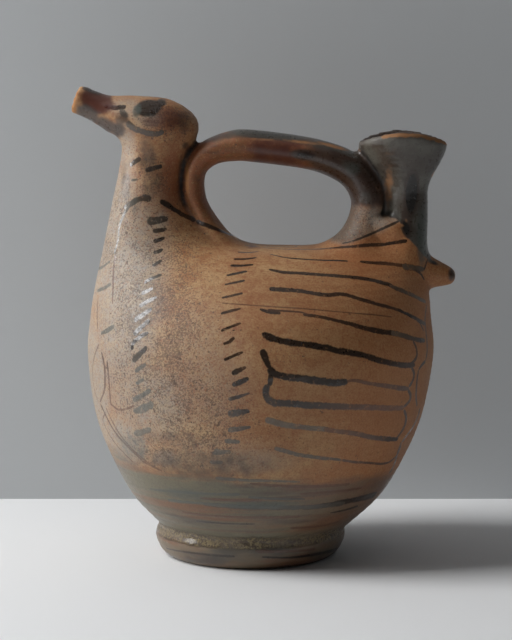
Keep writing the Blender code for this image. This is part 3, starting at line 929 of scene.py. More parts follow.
# %% [markdown]
# ## Pressing the lines onto the clay
# A brush line has to lie on the clay. Each one is splined, and its points are pressed onto the skin from
# the side, by a ray, as a finger would meet it. The brush is thinner where it is set down and lifted.

# %% Press a line onto the clay
BRUSH_STEP = 0.5 * MM
BRUSH_REACH = 6 * MM
BRUSH_SPREAD = 1.6
BRUSH_TIP = 0.82
BRUSH_TAPER = 2 * MM
TINY = 1e-9


def press(x, z, side):
    """The skin and its normal where a finger at (x, z) of the side view meets it from one side."""
    hit, normal, *_ = clay.ray_cast(Vector((x, side, z)), Vector((0, -side, 0)))
    if hit is None:
        hit, normal, *_ = clay.find_nearest(Vector((x, 0, z)))
    return hit, normal


def brush_line(line, side):
    """Points on the clay, directions along and across, half widths, tones and lengths of one pull."""
    start_width, end_width, start_tone, end_tone, *pixels = line
    pixel_size = np.mean([seen(*pixel)[2] for pixel in pixels]) / FOCAL_LENGTH_PX
    drawn = flow(side_view(pixels), FINE_STEPS)
    lengths = np.append(0, np.cumsum(np.linalg.norm(np.diff(drawn, axis=0), axis=1)))
    steps = max(int(lengths[-1] / BRUSH_STEP), 2)
    even = np.linspace(0, lengths[-1], steps + 1)
    drawn = np.stack([np.interp(even, lengths, drawn[:, k]) for k in (0, 1)], 1)
    spots = [press(x, z, side) for x, z in drawn]
    places = np.array([hit for hit, _ in spots])
    normals = np.array([normal for _, normal in spots])
    along = np.gradient(places, axis=0)
    along /= np.linalg.norm(along, axis=1)[:, None] + TINY
    across = np.cross(normals, along)
    across /= np.linalg.norm(across, axis=1)[:, None] + TINY
    t = even / even[-1]
    run = np.append(0, np.cumsum(np.linalg.norm(np.diff(places, axis=0), axis=1)))
    pressed = mix(BRUSH_TIP, 1, ease(np.minimum(even, even[-1] - even), 0, BRUSH_TAPER))
    half = mix(start_width, end_width, t) * pressed * BRUSH_SPREAD * pixel_size / 2
    return places, normals, along, across, half, mix(start_tone, end_tone, t), run


drawn_lines = [*FEATHERS, *FEATHER_ENDS, *SHORT_FEATHERS, *BORDERS]
drawn_lines += [*BREAST_LINES, *SCRATCH, *STREAKS, *CREASE_SHADE_LINES]
near_wing = [brush_line(line, -1) for line in drawn_lines]
far_wing = [brush_line(line, 1) for line in drawn_lines]
print("lines on each side:", len(drawn_lines))

# %% [markdown]
# ## Lines as numbers on the skin
# Every point of the skin near a line notes how far across the line and past its end it lies, and the line's
# tone. The material can then draw the line with a clean edge although the mesh is coarser than the brush. A
# point can only note one line, so lines that lie close together go to different layers.

# %% Note the lines on the skin
APART = 4.6 * MM
FAR = 30.0
SAME_SIDE = 0.1


def layer_of(lines):
    """A layer number for each line, so that no two lines of a layer come close to each other."""
    layers = []
    for line in lines:
        places = line[0]
        free = 0
        for number, held in enumerate(layers):
            gaps = [np.linalg.norm(places[:, None] - other[None], axis=2).min() for other in held]
            if min(gaps) > APART:
                free = number
                break
            free = number + 1
        if free == len(layers):
            layers.append([])
        layers[free].append(places)
        yield free


def note_line(layer, line, points, normals):
    """Writes to the layer, for skin points near the line: across, past the end, distance and tone."""
    places, facing, along, across, half, tone, run = line
    low, high = places.min(0) - BRUSH_REACH, places.max(0) + BRUSH_REACH
    near = np.nonzero(np.all((points > low) & (points < high), axis=1))[0]
    offsets = points[near][:, None] - places[None]
    distances = np.linalg.norm(offsets, axis=2)
    k = distances.argmin(1)
    rows = np.arange(len(near))
    offset, distance = offsets[rows, k], distances[rows, k]
    nearer = (distance < BRUSH_REACH) & (distance / MM < layer[near, 2])
    keep = nearer & ((normals[near] * facing[k]).sum(1) > SAME_SIDE)
    near, k, offset, distance = near[keep], k[keep], offset[keep], distance[keep]
    on = run[k] + (offset * along[k]).sum(1)
    past = np.maximum(-on, on - run[-1])
    layer[near, 0] = (offset * across[k]).sum(1) / half[k]
    layer[near, 1] = past / half[k]
    layer[near, 2] = distance / MM
    layer[near, 3] = tone[k]


def store(name, rows):
    """Keeps four numbers for each point of the skin as a colour attribute."""
    layer = vessel.data.color_attributes.new(name, "FLOAT_COLOR", "POINT")
    layer.data.foreach_set("color", np.asarray(rows, np.float32).ravel())


points, normals = read_points(vessel), point_normals(vessel)
line_layers = list(layer_of(near_wing))
layers = [np.tile((FAR, FAR, FAR, 0.0), (len(points), 1)) for _ in range(max(line_layers) + 1)]
for number, *pair in zip(line_layers, near_wing, far_wing):
    for line in pair:
        note_line(layers[number], line, points, normals)
for number, layer in enumerate(layers):
    store(f"brush_{number}", layer)
print("layers of lines:", len(layers))

# %% [markdown]
# ## Dabs
# Eye, bill, handle and mouth carry broad dabs instead of lines. Each dab is an oval in pixels with a
# strength, and the material breaks its edge up with noise, so no oval shows. Weight painting by hand would
# be the usual way, but a table can be read and changed. The first two kinds are shining slip and slip that
# fired grey.

# %% Dabs of slip
# pixel across and down, reach along, reach across, turn clockwise in degrees, strength
GLAZE = (
    (149, 108, 14, 9, -8, 1.1),
    (160, 103, 8, 5, -8, 0.8),
    (432, 262, 9, 2.5, 25, 0.7),
)
ASH = (
    (136, 206, 6, 12, 5, 0.5),
    (422, 235, 6, 35, 0, 0.9),
    (137, 111, 5, 7, 20, 0.95),
    (150, 116, 15, 4, 5, 0.35),
    (262, 505, 45, 5, 0, 0.75),
    (185, 494, 30, 8, 3, 0.6),
    (135, 444, 16, 16, 50, 0.5),
    (236, 133, 12, 3, -5, 0.5),
    (352, 168, 12, 8, 30, 0.6),
    (366, 198, 8, 8, 0, 0.5),
    (444, 258, 10, 2, 25, 0.5),
    (125, 445, 18, 9, 60, 0.5),
    (140, 450, 10, 16, 0, 0.5),
)
print("dabs of slip:", len(GLAZE) + len(ASH))

# %% [markdown]
# The kiln coloured the clay too. Maroon slip covers the bill, and smoke darkened the handle's rear half and
# the strip down the mouth's stem. Dabs of the same dark colours paint shade in the crease at the nape, on
# the neck, at the back of the head, under the bill and under the belly. Where air and flame met the clay it
# turned rusty, and one red dab paints the shaded side of the nape.

# %% Dabs of maroon, smoke with painted shade, and rust
MAROON = (
    (97, 101, 17, 13, 25, 1.3),
    (112, 106, 8, 5, 10, 0.5),
    (90, 92, 7, 4, 20, 0.9),
    (167, 119, 24, 14, 0, 0.5),
    (150, 122, 12, 5, 5, 0.55),
    (120, 118, 14, 6, 25, 0.35),
)
SMOKE_AND_SHADE = (
    (280, 134, 58, 5, 4, 1.1),
    (215, 137, 20, 6, -12, 0.6),
    # painted shade on the neck
    (146, 154, 13, 30, 0, 0.55),
    (126, 180, 7, 26, 0, 0.5),
    # painted shade at the back of the head
    (184, 122, 9, 16, 0, 0.45),
    (406, 228, 5, 11, -15, 1.3),
    # painted shade in the crease at the nape
    (181, 178, 4, 32, 3, 0.55),
    # painted shade under the bill, this row and the next three
    (87, 114, 15, 10, 28, 0.85),
    (106, 125, 15, 9, 32, 0.8),
    (118, 130, 9, 10, 30, 0.75),
    (122, 119, 9, 9, 0, 0.62),
    (150, 95, 24, 4, 3, 0.5),
    (425, 165, 12, 16, 0, 0.5),
    (452, 275, 5, 8, 0, 0.8),
    # painted shade under the belly, this row and the next
    (180, 440, 55, 13, 0, 0.42),
    (205, 465, 85, 20, 0, 0.55),
    # painted shade on the neck
    (151, 180, 14, 28, 3, 0.42),
    (354, 194, 8, 13, 0, 0.9),
    # painted shade at the nape
    (188, 152, 5, 9, 30, 0.6),
    (352, 175, 14, 12, 40, 1.05),
    (92, 90, 11, 3.5, 24, 0.9),
    (86, 88, 4, 3, 0, 0.8),
    (306, 155, 17, 6, 6, 1.15),
    (270, 138, 40, 2, 5, 0.8),
    (330, 160, 30, 9, 20, 0.9),
    (411.5, 193, 8, 27, 3, 1.4),
    (407, 215, 6, 10, 0, 0.95),
    (409, 222, 4, 14, -10, 0.85),
    (404, 150, 20, 6, 0, 0.3),
    # painted shade at the nape
    (186, 146, 5, 5, 0, 0.6),
)
RUST_AND_SHADE = (
    # painted shade: the nape redder and darker on its side turned from the light
    (171, 180, 12, 34, 4, 0.95),
    (370, 262, 34, 11, 0, 0.6),
    (165, 118, 22, 14, 0, 0.8),
    (95, 103, 16, 8, 35, 0.7),
    (128, 95, 24, 5, -5, 0.25),
    (285, 155, 30, 6, 5, 0.8),
    (255, 145, 30, 8, 0, 0.4),
    (235, 328, 2.2, 2.2, 0, 1.1),
    (169, 536, 6, 3, 0, 0.9),
    (278, 548, 30, 4, 0, 0.6),
    (325, 523, 35, 7, -10, 0.7),
    (330, 484, 55, 4, -4, 0.6),
    (300, 507, 30, 3, 0, 0.4),
    (375, 480, 16, 4, -30, 0.6),
    (418, 200, 6, 30, 0, 0.3),
)
print("dabs of the fire:", len(MAROON) + len(SMOKE_AND_SHADE) + len(RUST_AND_SHADE))

# %% [markdown]
# Age did the rest. Slip is worn off where hands touched it, and a few light dabs of the same kind paint
# highlights on the lit edge of the handle and glints by the mouth's stem. A pale bloom lies on the breast,
# partly painted sheen where it faces the light, and one pale dab paints light on the shaded side of the
# handle's rear root. Salts left dark specks, thickest on breast and belly.

# %% Dabs of wear, highlights, haze, painted light and specks
BARE_AND_LIT = (
    (222, 141, 20, 5, -8, 0.34),
    (262, 139.5, 18, 1.4, 3, 0.62),
    # painted highlight along the handle's lit left edge
    (187, 176, 2.4, 24, -3, 0.85),
    (72, 100, 5, 14, -10, 1.2),
    (74, 94, 6, 6, 0, 1),
    (388, 187, 5.5, 26, 3, 0.54),
    (392, 152, 10, 5, 0, 0.25),
    (332, 146, 18, 2, 16, 0.75),
    (300, 142, 26, 1.8, 7, 0.62),
    # painted glints on the dark patch by the mouth's stem, this row and the next two
    (402, 226, 2, 2, 0, 1),
    (406, 221, 1.5, 1.5, 0, 1),
    (398, 224, 1.5, 1.5, 0, 1),
    (320, 204, 2, 2, 0, 0.8),
)
HAZE_AND_LIGHT = (
    (160, 222, 9, 12, 0, 0.7),
    (128, 108, 22, 10, 8, 0.6),
    (146, 118, 16, 10, 0, 0.6),
    (124, 190, 10, 22, 0, 0.9),
    (165, 458, 18, 10, 0, 0.7),
    # painted light on the shaded side of the handle's rear root
    (376, 218, 13, 13, 0, 1),
    (125, 300, 40, 110, 5, 1),
    (110, 200, 30, 40, 15, 1),
    (145, 400, 50, 45, 20, 0.8),
    (190, 380, 60, 70, 0, 0.35),
    (200, 450, 70, 20, 0, 0.3),
    (92, 395, 24, 95, 0, 1.3),
    (100, 240, 26, 70, 8, 1.2),
    (124, 440, 30, 26, 40, 1),
    (125, 150, 12, 30, 0, 0.8),
    (245, 460, 50, 14, 0, 0.4),
)
SPECKS = (
    (155, 330, 60, 130, 5, 1.05),
    (200, 418, 60, 55, 0, 0.95),
    (180, 450, 70, 25, 0, 1),
    (168, 122, 30, 22, 0, 1.05),
    (152, 178, 22, 30, 0, 0.75),
    (245, 150, 50, 12, 0, 0.4),
    (112, 225, 32, 60, 8, 0.85),
    (300, 440, 70, 30, 0, 0.3),
    (290, 345, 40, 30, 0, 0.35),
    (362, 208, 14, 16, 0, 1),
    (150, 115, 14, 6, 0, 0.6),
    (135, 150, 12, 12, 0, 0.6),
)
print("dabs of age:", len(BARE_AND_LIT) + len(HAZE_AND_LIGHT) + len(SPECKS))

# %% [markdown]
# Three areas have a drawn border instead: the slip on the mouth and its stem, the handle's rear root, which
# stayed pale and speckled, and the thin wash, whose upper edge runs round the lower belly.

# %% Outlines of slip, root and wash
SPOUT = (
    (452, 118), (452, 150), (432, 175), (431, 262), (424, 256), (416, 246), (408, 238), (402, 224),
    (396, 219), (388, 216), (380, 216), (384, 206), (385, 194), (380, 178), (374, 167), (365, 157),
    (352, 140), (352, 118),
)
REAR_ROOT = (
    (332, 241), (345, 243.5), (356, 240), (374, 232.5), (388, 226.5), (401, 221), (402, 213), (394, 210),
    (384, 214), (379, 214), (368, 207), (352, 205), (345, 212), (338, 224), (330, 234),
)
WASH = (
    (98, 444), (110, 451), (120, 457), (142, 464), (160, 469), (200, 476), (260, 482), (300, 481),
    (330, 482), (360, 479), (387, 476), (400, 470), (420, 460),
)
print("corners drawn:", len(SPOUT) + len(REAR_ROOT) + len(WASH))

# %% [markdown]
# ## Measuring on the skin
# For a dab a point needs its depth in the oval, for an outline its distance to the border, for a crease its
# distance to a path, and for the worn lip its distance to the rim. Each is a few lines of array arithmetic.

# %% Depth and distance
DAB_FADES = (0.35, 1.45)


def dabs(ovals, points):
    """How deep each point lies in the ovals: 1 in the middle, 0 outside."""
    depth = np.zeros(len(points))
    for pixel_x, pixel_y, along, across, turn, strength in ovals:
        x, z, distance = seen(pixel_x, pixel_y)
        cos, sin = math.cos(math.radians(turn)), -math.sin(math.radians(turn))
        dx, dz = points[:, 0] - x, points[:, 2] - z
        r = np.hypot((dx * cos + dz * sin) / along, (dz * cos - dx * sin) / across)
        r *= FOCAL_LENGTH_PX / distance
        depth = np.maximum(depth, strength * (1 - ease(r, *DAB_FADES)))
    return depth


def within(outline, points):
    """Millimetres inside a closed outline on the side view, negative outside."""
    corners = side_view(outline) / MM
    place = points[:, (0, 2)] / MM
    least = np.full(len(place), 1e9)
    crossings = np.zeros(len(place), int)
    for a, b in zip(corners, np.roll(corners, -1, axis=0)):
        edge = b - a
        t = np.clip((place - a) @ edge / (edge @ edge), 0, 1)
        least = np.minimum(least, np.linalg.norm(place - a - t[:, None] * edge, axis=1))
        spans = (a[1] > place[:, 1]) != (b[1] > place[:, 1])
        slope = edge[0] / (edge[1] + TINY)
        crossings += spans & (place[:, 0] < a[0] + (place[:, 1] - a[1]) * slope)
    return np.where(crossings % 2 == 1, least, -least)


def off_path(path, points):
    """Millimetres on the side view from each point to a path."""
    path = flow(side_view(path), 4) / MM
    return np.hypot(*(points[:, None, (0, 2)] / MM - path[None]).transpose(2, 0, 1)).min(1)


def lip_distance(points):
    """Millimetres from each point to the rim of the mouth."""
    rim, radius, lift = trumpet_levels(MOUTH_NECK_DIAMETER / 2, MOUTH_DIAMETER / 2)[-1]
    line = np.array(level_ring(rim + side_point(FOOT_X, MOUTH_LIP / 2), radius, SMALL_SIDES, lift))
    return np.linalg.norm(points[:, None] - line[None], axis=2).min(1) / MM


print("points in the mouth's outline:", int((within(SPOUT, points) > 0).sum()))

# %% [markdown]
# ## Notes on the skin
# The measures are kept on the skin as colour attributes, four numbers each, which the material reads back.
# Like the lines they travel with the mesh, so the paint stays where it is from every side. The difference
# between the skin and a smoothed copy tells ridges from hollows, and the hollows get painted shade and dirt.

# %% Note areas, age and forms
# where the handle turns red, turns grey on top and was darkened by smoke, in mm from front to back
HANDLE_RED = (-8, 4)
HANDLE_GREY = (-14, -6)
HANDLE_SMOKED = (14, 34)
# the same from low to high, for the smoke's lower end, the handle's own colour and the grey top
SMOKE_ENDS = (139, 150)
HANDLE_TINTED = (132, 146)
HANDLE_TOP = (150, 158)
FACING_UP = (0.45, 0.9)
FRONT_RED = 0.7
LIP_WEAR = (0.8, 1.8)
SPOUT_EDGE, ROOT_EDGE = 1.2, 1.6
ROOT_SPECKS, ROOT_HAZE = 0.55, 0.65
CREASE_SHADE_CORE = 0.25
# weight and rounds of the smoothing that tells ridges from hollows
RIDGE_EASE, RIDGE_ROUNDS = 0.5, 12

on_form, hollow = belonging(points - np.array((FOOT_X, 0, 0)))
x_mm, z_mm = (points[:, 0] - FOOT_X) / MM, points[:, 2] / MM
rear_half = ease(x_mm, *HANDLE_SMOKED) * ease(z_mm, *SMOKE_ENDS)
grey_top = ease(normals[:, 2], *FACING_UP) * ease(x_mm, *HANDLE_GREY) * ease(z_mm, *HANDLE_TOP)
front_half = FRONT_RED * ease(x_mm, *HANDLE_RED) * (1 - ease(x_mm, *HANDLE_SMOKED))
maroon_area = np.maximum(dabs(MAROON, points), front_half * on_form["handle"])
smoke_and_shade_area = np.maximum(dabs(SMOKE_AND_SHADE, points), rear_half * on_form["handle"])
slip_area = np.maximum(dabs(GLAZE, points), ease(within(SPOUT, points), -SPOUT_EDGE, SPOUT_EDGE))
root = ease(within(REAR_ROOT, points), -ROOT_EDGE, ROOT_EDGE)
haze_and_light_area = np.maximum(dabs(HAZE_AND_LIGHT, points), ROOT_HAZE * root)
speck_area = np.maximum(dabs(SPECKS, points), ROOT_SPECKS * root)
below_wash = (np.interp(points[:, 0], *side_view(WASH).T) - points[:, 2]) / MM
smoothed = relaxed(vessel, points, np.full(len(points), RIDGE_EASE), RIDGE_ROUNDS)
ridge = ((points - smoothed) * normals).sum(1) / MM
rim = 1 - ease(lip_distance(points), *LIP_WEAR)
crease_shades = [1 - ease(off_path(path, points), CREASE_SHADE_CORE, reach) for reach, *path in CREASE_SHADES]
crease_shade = np.maximum.reduce(crease_shades)
tinted = on_form["handle"] * ease(z_mm, *HANDLE_TINTED)

store("slip", np.stack([slip_area, dabs(ASH, points), dabs(RUST_AND_SHADE, points), dabs(BARE_AND_LIT, points)], 1))
store("age", np.stack([haze_and_light_area, speck_area, below_wash, ridge], 1))
store("forms", np.stack([on_form["foot"], tinted, on_form["mouth"], hollow], 1))
store("fire_and_shade", np.stack([maroon_area, smoke_and_shade_area, on_form["handle"] * grey_top, rim], 1))
store("joints", np.stack([crease_shade, root, root, root], 1))
print("ridges and hollows, mm:", round(float(ridge.min()), 2), "to", round(float(ridge.max()), 2))

# %% [markdown]
# ## Materials
# One material covers the vessel, as one firing did. It is built up in the order of the real surface: clay,
# then the wash near the foot, slip lines and dabs, then age. Nodes could be placed by hand in the editor;
# in a script, these helpers place one, link or set its inputs, and hand back what it puts out.

# %% Helpers that place nodes


def colour(red, green, blue):
    """A colour as a screen shows it, 0 to 255, in Blender's linear numbers."""
    return (*(((c / 255 + 0.055) / 1.055) ** 2.4 for c in (red, green, blue)), 1.0)


def feed(socket, value):
    """Links an output to the socket, or sets the socket itself."""
    if isinstance(value, bpy.types.NodeSocket):
        socket.id_data.links.new(value, socket)
    else:
        socket.default_value = value


def place(tree, kind, inputs=None, **settings):
    node = tree.nodes.new("ShaderNode" + kind)
    for name, value in settings.items():
        setattr(node, name, value)
    for name, value in (inputs or {}).items():
        feed(node.inputs[name], value)
    return node


def calc(tree, operation, *values):
    node = place(tree, "Math", operation=operation)
    for socket, value in zip(node.inputs, values):
        feed(socket, value)
    return node.outputs[0]


def step_up(tree, value, low, high, least=0.0, most=1.0):
    """least below low, most above high, with a smooth step between."""
    inputs = {"Value": value, "From Min": low, "From Max": high, "To Min": least, "To Max": most}
    return place(tree, "MapRange", inputs, interpolation_type="SMOOTHSTEP").outputs[0]


def layer_over(tree, amount, under, over):
    """The colour over on top of the colour under, by this amount."""
    node = place(tree, "Mix", data_type="RGBA")
    for socket, value in zip((node.inputs[0], node.inputs[6], node.inputs[7]), (amount, under, over)):
        feed(socket, value)
    return node.outputs[2]


print("clay on a screen 176, 132, 92 is", [round(c, 3) for c in colour(176, 132, 92)[:3]])

# %% [markdown]
# Noise stands for everything that chance did. Its size is given in millimetres on the object, so the grain
# of the clay keeps its scale. The notes on the skin are read back by name, and a node group packs an effect
# that is used more than once.

# %% Helpers for noise, notes and groups
PER_METRE = 1000.0


def cloud(tree, size, detail=3.0, stretch=(1, 1, 1), seed=0, roughness=0.55):
    """Noise from 0 to 1 whose bumps are about this many mm, stretched along X, Y or Z."""
    where = place(tree, "TexCoord").outputs["Object"]
    scale = [PER_METRE / size / s for s in stretch]
    shift = (seed * 3.7, seed * 1.9, -seed * 2.3)
    moved = place(tree, "Mapping", {"Vector": where, "Location": shift, "Scale": scale})
    inputs = {"Vector": moved.outputs[0], "Scale": 1.0, "Detail": detail, "Roughness": roughness}
    return place(tree, "TexNoise", inputs).outputs[0]


def noted(tree, name):
    """The numbers that the skin keeps under a name: three from a colour's parts and one from its alpha."""
    note = place(tree, "Attribute", attribute_name=name, attribute_type="GEOMETRY")
    parts = place(tree, "SeparateColor", {"Color": note.outputs["Color"]})
    red, green, blue = parts.outputs
    return note.outputs["Vector"], red, green, blue, note.outputs["Alpha"]


def new_group(name, inputs, outputs):
    """An empty node group with these named sockets, and the sockets of its input and output nodes."""
    tree = bpy.data.node_groups.new(name, "ShaderNodeTree")
    for direction, sockets in (("INPUT", inputs), ("OUTPUT", outputs)):
        for socket, kind in sockets.items():
            tree.interface.new_socket(socket, in_out=direction, socket_type="NodeSocket" + kind)
    return tree, tree.nodes.new("NodeGroupInput").outputs, tree.nodes.new("NodeGroupOutput").inputs


def use(tree, group, **inputs):
    """Places a node group, feeds its inputs and returns its outputs."""
    node = tree.nodes.new("ShaderNodeGroup")
    node.node_tree = group
    for name, value in inputs.items():
        feed(node.inputs[name], value)
    return node.outputs


print("notes on the skin:", [note.name for note in vessel.data.color_attributes])

# %% [markdown]
# ## A brush line as a node group
# A point is in the line where its distance across is under 1 and the end isn't passed, which makes a round
# tip. Two noises shake that distance, a fine one for the dry edge and a slow one for the unsteady hand. A
# gate keeps out the far points, where two lines' neighbourhoods would meet in a seam.

# %% Group for brush lines
LINE_EDGE = (0.72, 1.18)
GATE_MM = 1.9


def brush_line_group():
    inputs = {"Place": "Vector", "Ragged": "Float"}
    tree, given, out = new_group("Brush line", inputs, {"Mask": "Float"})
    parts = place(tree, "SeparateXYZ", {"Vector": given["Place"]}).outputs
    across = calc(tree, "MULTIPLY", parts["X"], parts["X"])
    past = calc(tree, "MAXIMUM", calc(tree, "ADD", parts["Y"], 1.0), 0.0)
    reach = calc(tree, "SQRT", calc(tree, "ADD", across, calc(tree, "MULTIPLY", past, past)))
    dry = calc(tree, "SUBTRACT", cloud(tree, 0.9, 3, seed=1), 0.5)
    unsteady = calc(tree, "SUBTRACT", cloud(tree, 5, 2, seed=2), 0.5)
    shake_by = calc(tree, "MULTIPLY", calc(tree, "ADD", dry, unsteady), given["Ragged"])
    inside = step_up(tree, calc(tree, "ADD", reach, shake_by), *LINE_EDGE, 1.0, 0.0)
    gate = calc(tree, "LESS_THAN", parts["Z"], GATE_MM)
    feed(out["Mask"], calc(tree, "MULTIPLY", inside, gate))
    return tree


BRUSH = brush_line_group()
print("nodes in a brush line:", len(BRUSH.nodes))

# %% [markdown]
# ## Dabs and pits as node groups
# The dab group turns a depth into a mask: noise of a given size moves the border in and out, and Soft says
# how gradual it is. The pit group scatters small dark holes, more of them where the amount is higher.

# %% Groups for dabs and pits
PIT_LEVEL, PITS_PER_AMOUNT = 0.71, -0.15


def sized_grain(tree, size, detail, roughness):
    """Noise whose size in mm is an input of the group."""
    where = place(tree, "TexCoord").outputs["Object"]
    scale = calc(tree, "DIVIDE", PER_METRE, size)
    inputs = {"Vector": where, "Scale": scale, "Detail": detail, "Roughness": roughness}
    return place(tree, "TexNoise", inputs).outputs[0]


def dab_group():
    inputs = {"Depth": "Float", "Size": "Float", "Break": "Float", "Soft": "Float"}
    tree, given, out = new_group("Dab", inputs, {"Mask": "Float"})
    grain = sized_grain(tree, given["Size"], 5.0, 0.6)
    shake_by = calc(tree, "MULTIPLY", calc(tree, "SUBTRACT", grain, 0.5), given["Break"])
    low = calc(tree, "SUBTRACT", 0.5, given["Soft"])
    high = calc(tree, "ADD", 0.5, given["Soft"])
    inside = step_up(tree, calc(tree, "ADD", given["Depth"], shake_by), low, high)
    feed(out["Mask"], calc(tree, "MULTIPLY", inside, step_up(tree, given["Depth"], 0.0, 0.05)))
    return tree


def pit_group():
    tree, given, out = new_group("Pits", {"Size": "Float", "Amount": "Float"}, {"Mask": "Float"})
    grain = sized_grain(tree, given["Size"], 2.0, 0.7)
    level = calc(tree, "MULTIPLY_ADD", given["Amount"], PITS_PER_AMOUNT, PIT_LEVEL)
    feed(out["Mask"], step_up(tree, calc(tree, "SUBTRACT", grain, level), 0.0, 0.05))
    return tree


DAB, PITS = dab_group(), pit_group()
print("groups:", [group.name for group in (BRUSH, DAB, PITS)])

# %% [markdown]
# ## Starting the material
# The material reads every note once. Short helpers keep the arithmetic readable: larger of two, product,
# the rest of a share, and a shake that lets a border run irregularly.

# %% The material and its notes
fired = bpy.data.materials.new("fired_clay")
fired.use_nodes = True
tree = fired.node_tree
shader = tree.nodes["Principled BSDF"]
_, glaze_depth, ash_depth, rust_and_shade_depth, bare_and_lit_depth = noted(tree, "slip")
_, haze_and_light_depth, speck_depth, wash_depth, edge = noted(tree, "age")
_, on_foot, on_handle, on_mouth, in_hollow = noted(tree, "forms")
_, maroon_depth, smoke_and_shade_depth, grey_depth, lip = noted(tree, "fire_and_shade")
_, crease_shaded, rooted, *_ = noted(tree, "joints")
place_on_vessel = place(tree, "SeparateXYZ", {"Vector": place(tree, "TexCoord").outputs["Object"]}).outputs
along, level = place_on_vessel["X"], place_on_vessel["Z"]


def times(a, b):
    return calc(tree, "MULTIPLY", a, b)


def plus(a, b):
    return calc(tree, "ADD", a, b)


def larger(a, b):
    return calc(tree, "MAXIMUM", a, b)


def rest_of(a):
    return calc(tree, "SUBTRACT", 1.0, a)


def dab(depth, size, ragged, soft):
    """The mask of a dab whose border noise of this size breaks up."""
    return use(tree, DAB, Depth=depth, Size=size, Break=ragged, Soft=soft)[0]


def shake(value, grain, amount):
    """The value moved up and down by noise, so that a border runs irregularly."""
    return plus(value, times(calc(tree, "SUBTRACT", grain, 0.5), amount))


print("reading", len(vessel.data.color_attributes), "notes")

# %% [markdown]
# ## The clay
# The body fired orange-brown, redder where the kiln was hotter and towards the tail. Three noises of
# different size mottle it, and one that is stretched along the wall gives the turning marks. A single
# colour would look like plastic: what makes clay look like clay is that no two places agree.

# %% Clay
CLAY_LIGHT = colour(190, 154, 109)
CLAY_DEEP = colour(167, 121, 80)
CLAY_RED = colour(140, 80, 48)
CLAY_WARM = colour(172, 112, 66)
# from where to where the clay turns warmer towards the tail
WARMER = (-5 * MM, 50 * MM)
mottle = step_up(tree, cloud(tree, 26, 4, seed=3), 0.32, 0.68)
grit = cloud(tree, 0.8, 3, seed=4, roughness=0.8)
blur = cloud(tree, 3.5, 5, seed=18, roughness=0.7)
rings_seen = cloud(tree, 2.2, 3, (30, 30, 1), seed=5)
body = layer_over(tree, mottle, CLAY_LIGHT, CLAY_DEEP)
body = layer_over(tree, step_up(tree, blur, 0.4, 0.7, 0.0, 0.55), body, CLAY_RED)
body = layer_over(tree, step_up(tree, blur, 0.5, 0.3, 0.0, 0.4), body, CLAY_LIGHT)
body = layer_over(tree, step_up(tree, rings_seen, 0.45, 0.8, 0.0, 0.3), body, CLAY_RED)
# rusty dabs, one of which paints the shade on the nape
kiln_and_shade = dab(rust_and_shade_depth, 9.0, 0.5, 0.4)
body = layer_over(tree, times(kiln_and_shade, 0.8), body, CLAY_RED)
warm = shake(step_up(tree, along, *WARMER), blur, 0.4)
body = layer_over(tree, times(warm, 0.75), body, CLAY_WARM)
print("nodes so far:", len(tree.nodes))

# %% [markdown]
# ## Handle and bleached breast
# The handle took a redder slip with streaks along the pull. The breast is bleached, with a grey bloom in
# patches that is partly painted sheen where it faces the light. The handle's rear root belongs to the breast
# in colour; towards the front it is painted darker green-grey, as painted shade under the handle's arch.
# Grit goes over all of it.

# %% Handle, bloom with painted sheen, painted shade on the root, and grit
HANDLE_CLAY = colour(110, 64, 32)
MAROON_SLIP = colour(78, 38, 30)
CLAY_PALE = colour(168, 155, 134)
BLOOM_AND_SHEEN = colour(140, 142, 141)
GREEN_GREY = colour(62, 60, 52)
# from where to where the root's front is painted darker, as painted shade
ROOT_FRONT_SHADED = (45 * MM, 35 * MM)
pulled = cloud(tree, 2.4, 4, (7, 1.5, 1), seed=23)
handle_colour = layer_over(tree, step_up(tree, blur, 0.35, 0.65), HANDLE_CLAY, CLAY_RED)
handle_colour = layer_over(tree, step_up(tree, pulled, 0.52, 0.72), handle_colour, MAROON_SLIP)
body = layer_over(tree, times(on_handle, times(0.85, rest_of(rooted))), body, handle_colour)
# the pale bloom, partly painted sheen where it faces the light
pale = calc(tree, "MINIMUM", larger(haze_and_light_depth, 0.0), 1.0)
body = layer_over(tree, times(pale, 0.8), body, CLAY_PALE)
bloom_and_sheen = times(pale, step_up(tree, cloud(tree, 3.5, 8, seed=6, roughness=0.85), 0.4, 0.64, 0.15, 0.7))
body = layer_over(tree, bloom_and_sheen, body, BLOOM_AND_SHEEN)
# the root's front painted darker green-grey: painted shade under the handle's arch
root_front_shade = times(rooted, step_up(tree, along, *ROOT_FRONT_SHADED, 0.0, 0.7))
body = layer_over(tree, root_front_shade, body, GREEN_GREY)
body = layer_over(tree, step_up(tree, grit, 0.46, 0.72, 0.0, 0.75), body, CLAY_RED)
body = layer_over(tree, step_up(tree, grit, 0.48, 0.28, 0.0, 0.5), body, CLAY_LIGHT)
print("nodes so far:", len(tree.nodes))

# %% [markdown]
# ## Specks and pits
# Salts burst out of the clay in the ground and left dark pits: fine ones everywhere, larger ones on breast
# and belly. The pit group is used twice, once for each size.

# %% Specks and pits
PIT_DARK = colour(74, 58, 50)
patchy = step_up(tree, cloud(tree, 9, 4, seed=19), 0.3, 0.65, 0.55, 1.0)
speck_share = plus(times(speck_depth, patchy), 0.12)
grains = use(tree, PITS, Size=0.75, Amount=times(speck_share, 1.5))[0]
pits = use(tree, PITS, Size=1.7, Amount=times(speck_share, 0.75))[0]
all_pits = larger(times(grains, 0.7), pits)
body = layer_over(tree, times(all_pits, 0.75), body, PIT_DARK)
print("nodes so far:", len(tree.nodes))

# %% [markdown]
# ## Wash and foot
# Below the wing a thin wash went round on the wheel: olive, brown and nearly black in level streaks, which
# a noise stretched sideways gives. Its upper edge wanders by some millimetres. The foot has the same
# colours in broader patches.

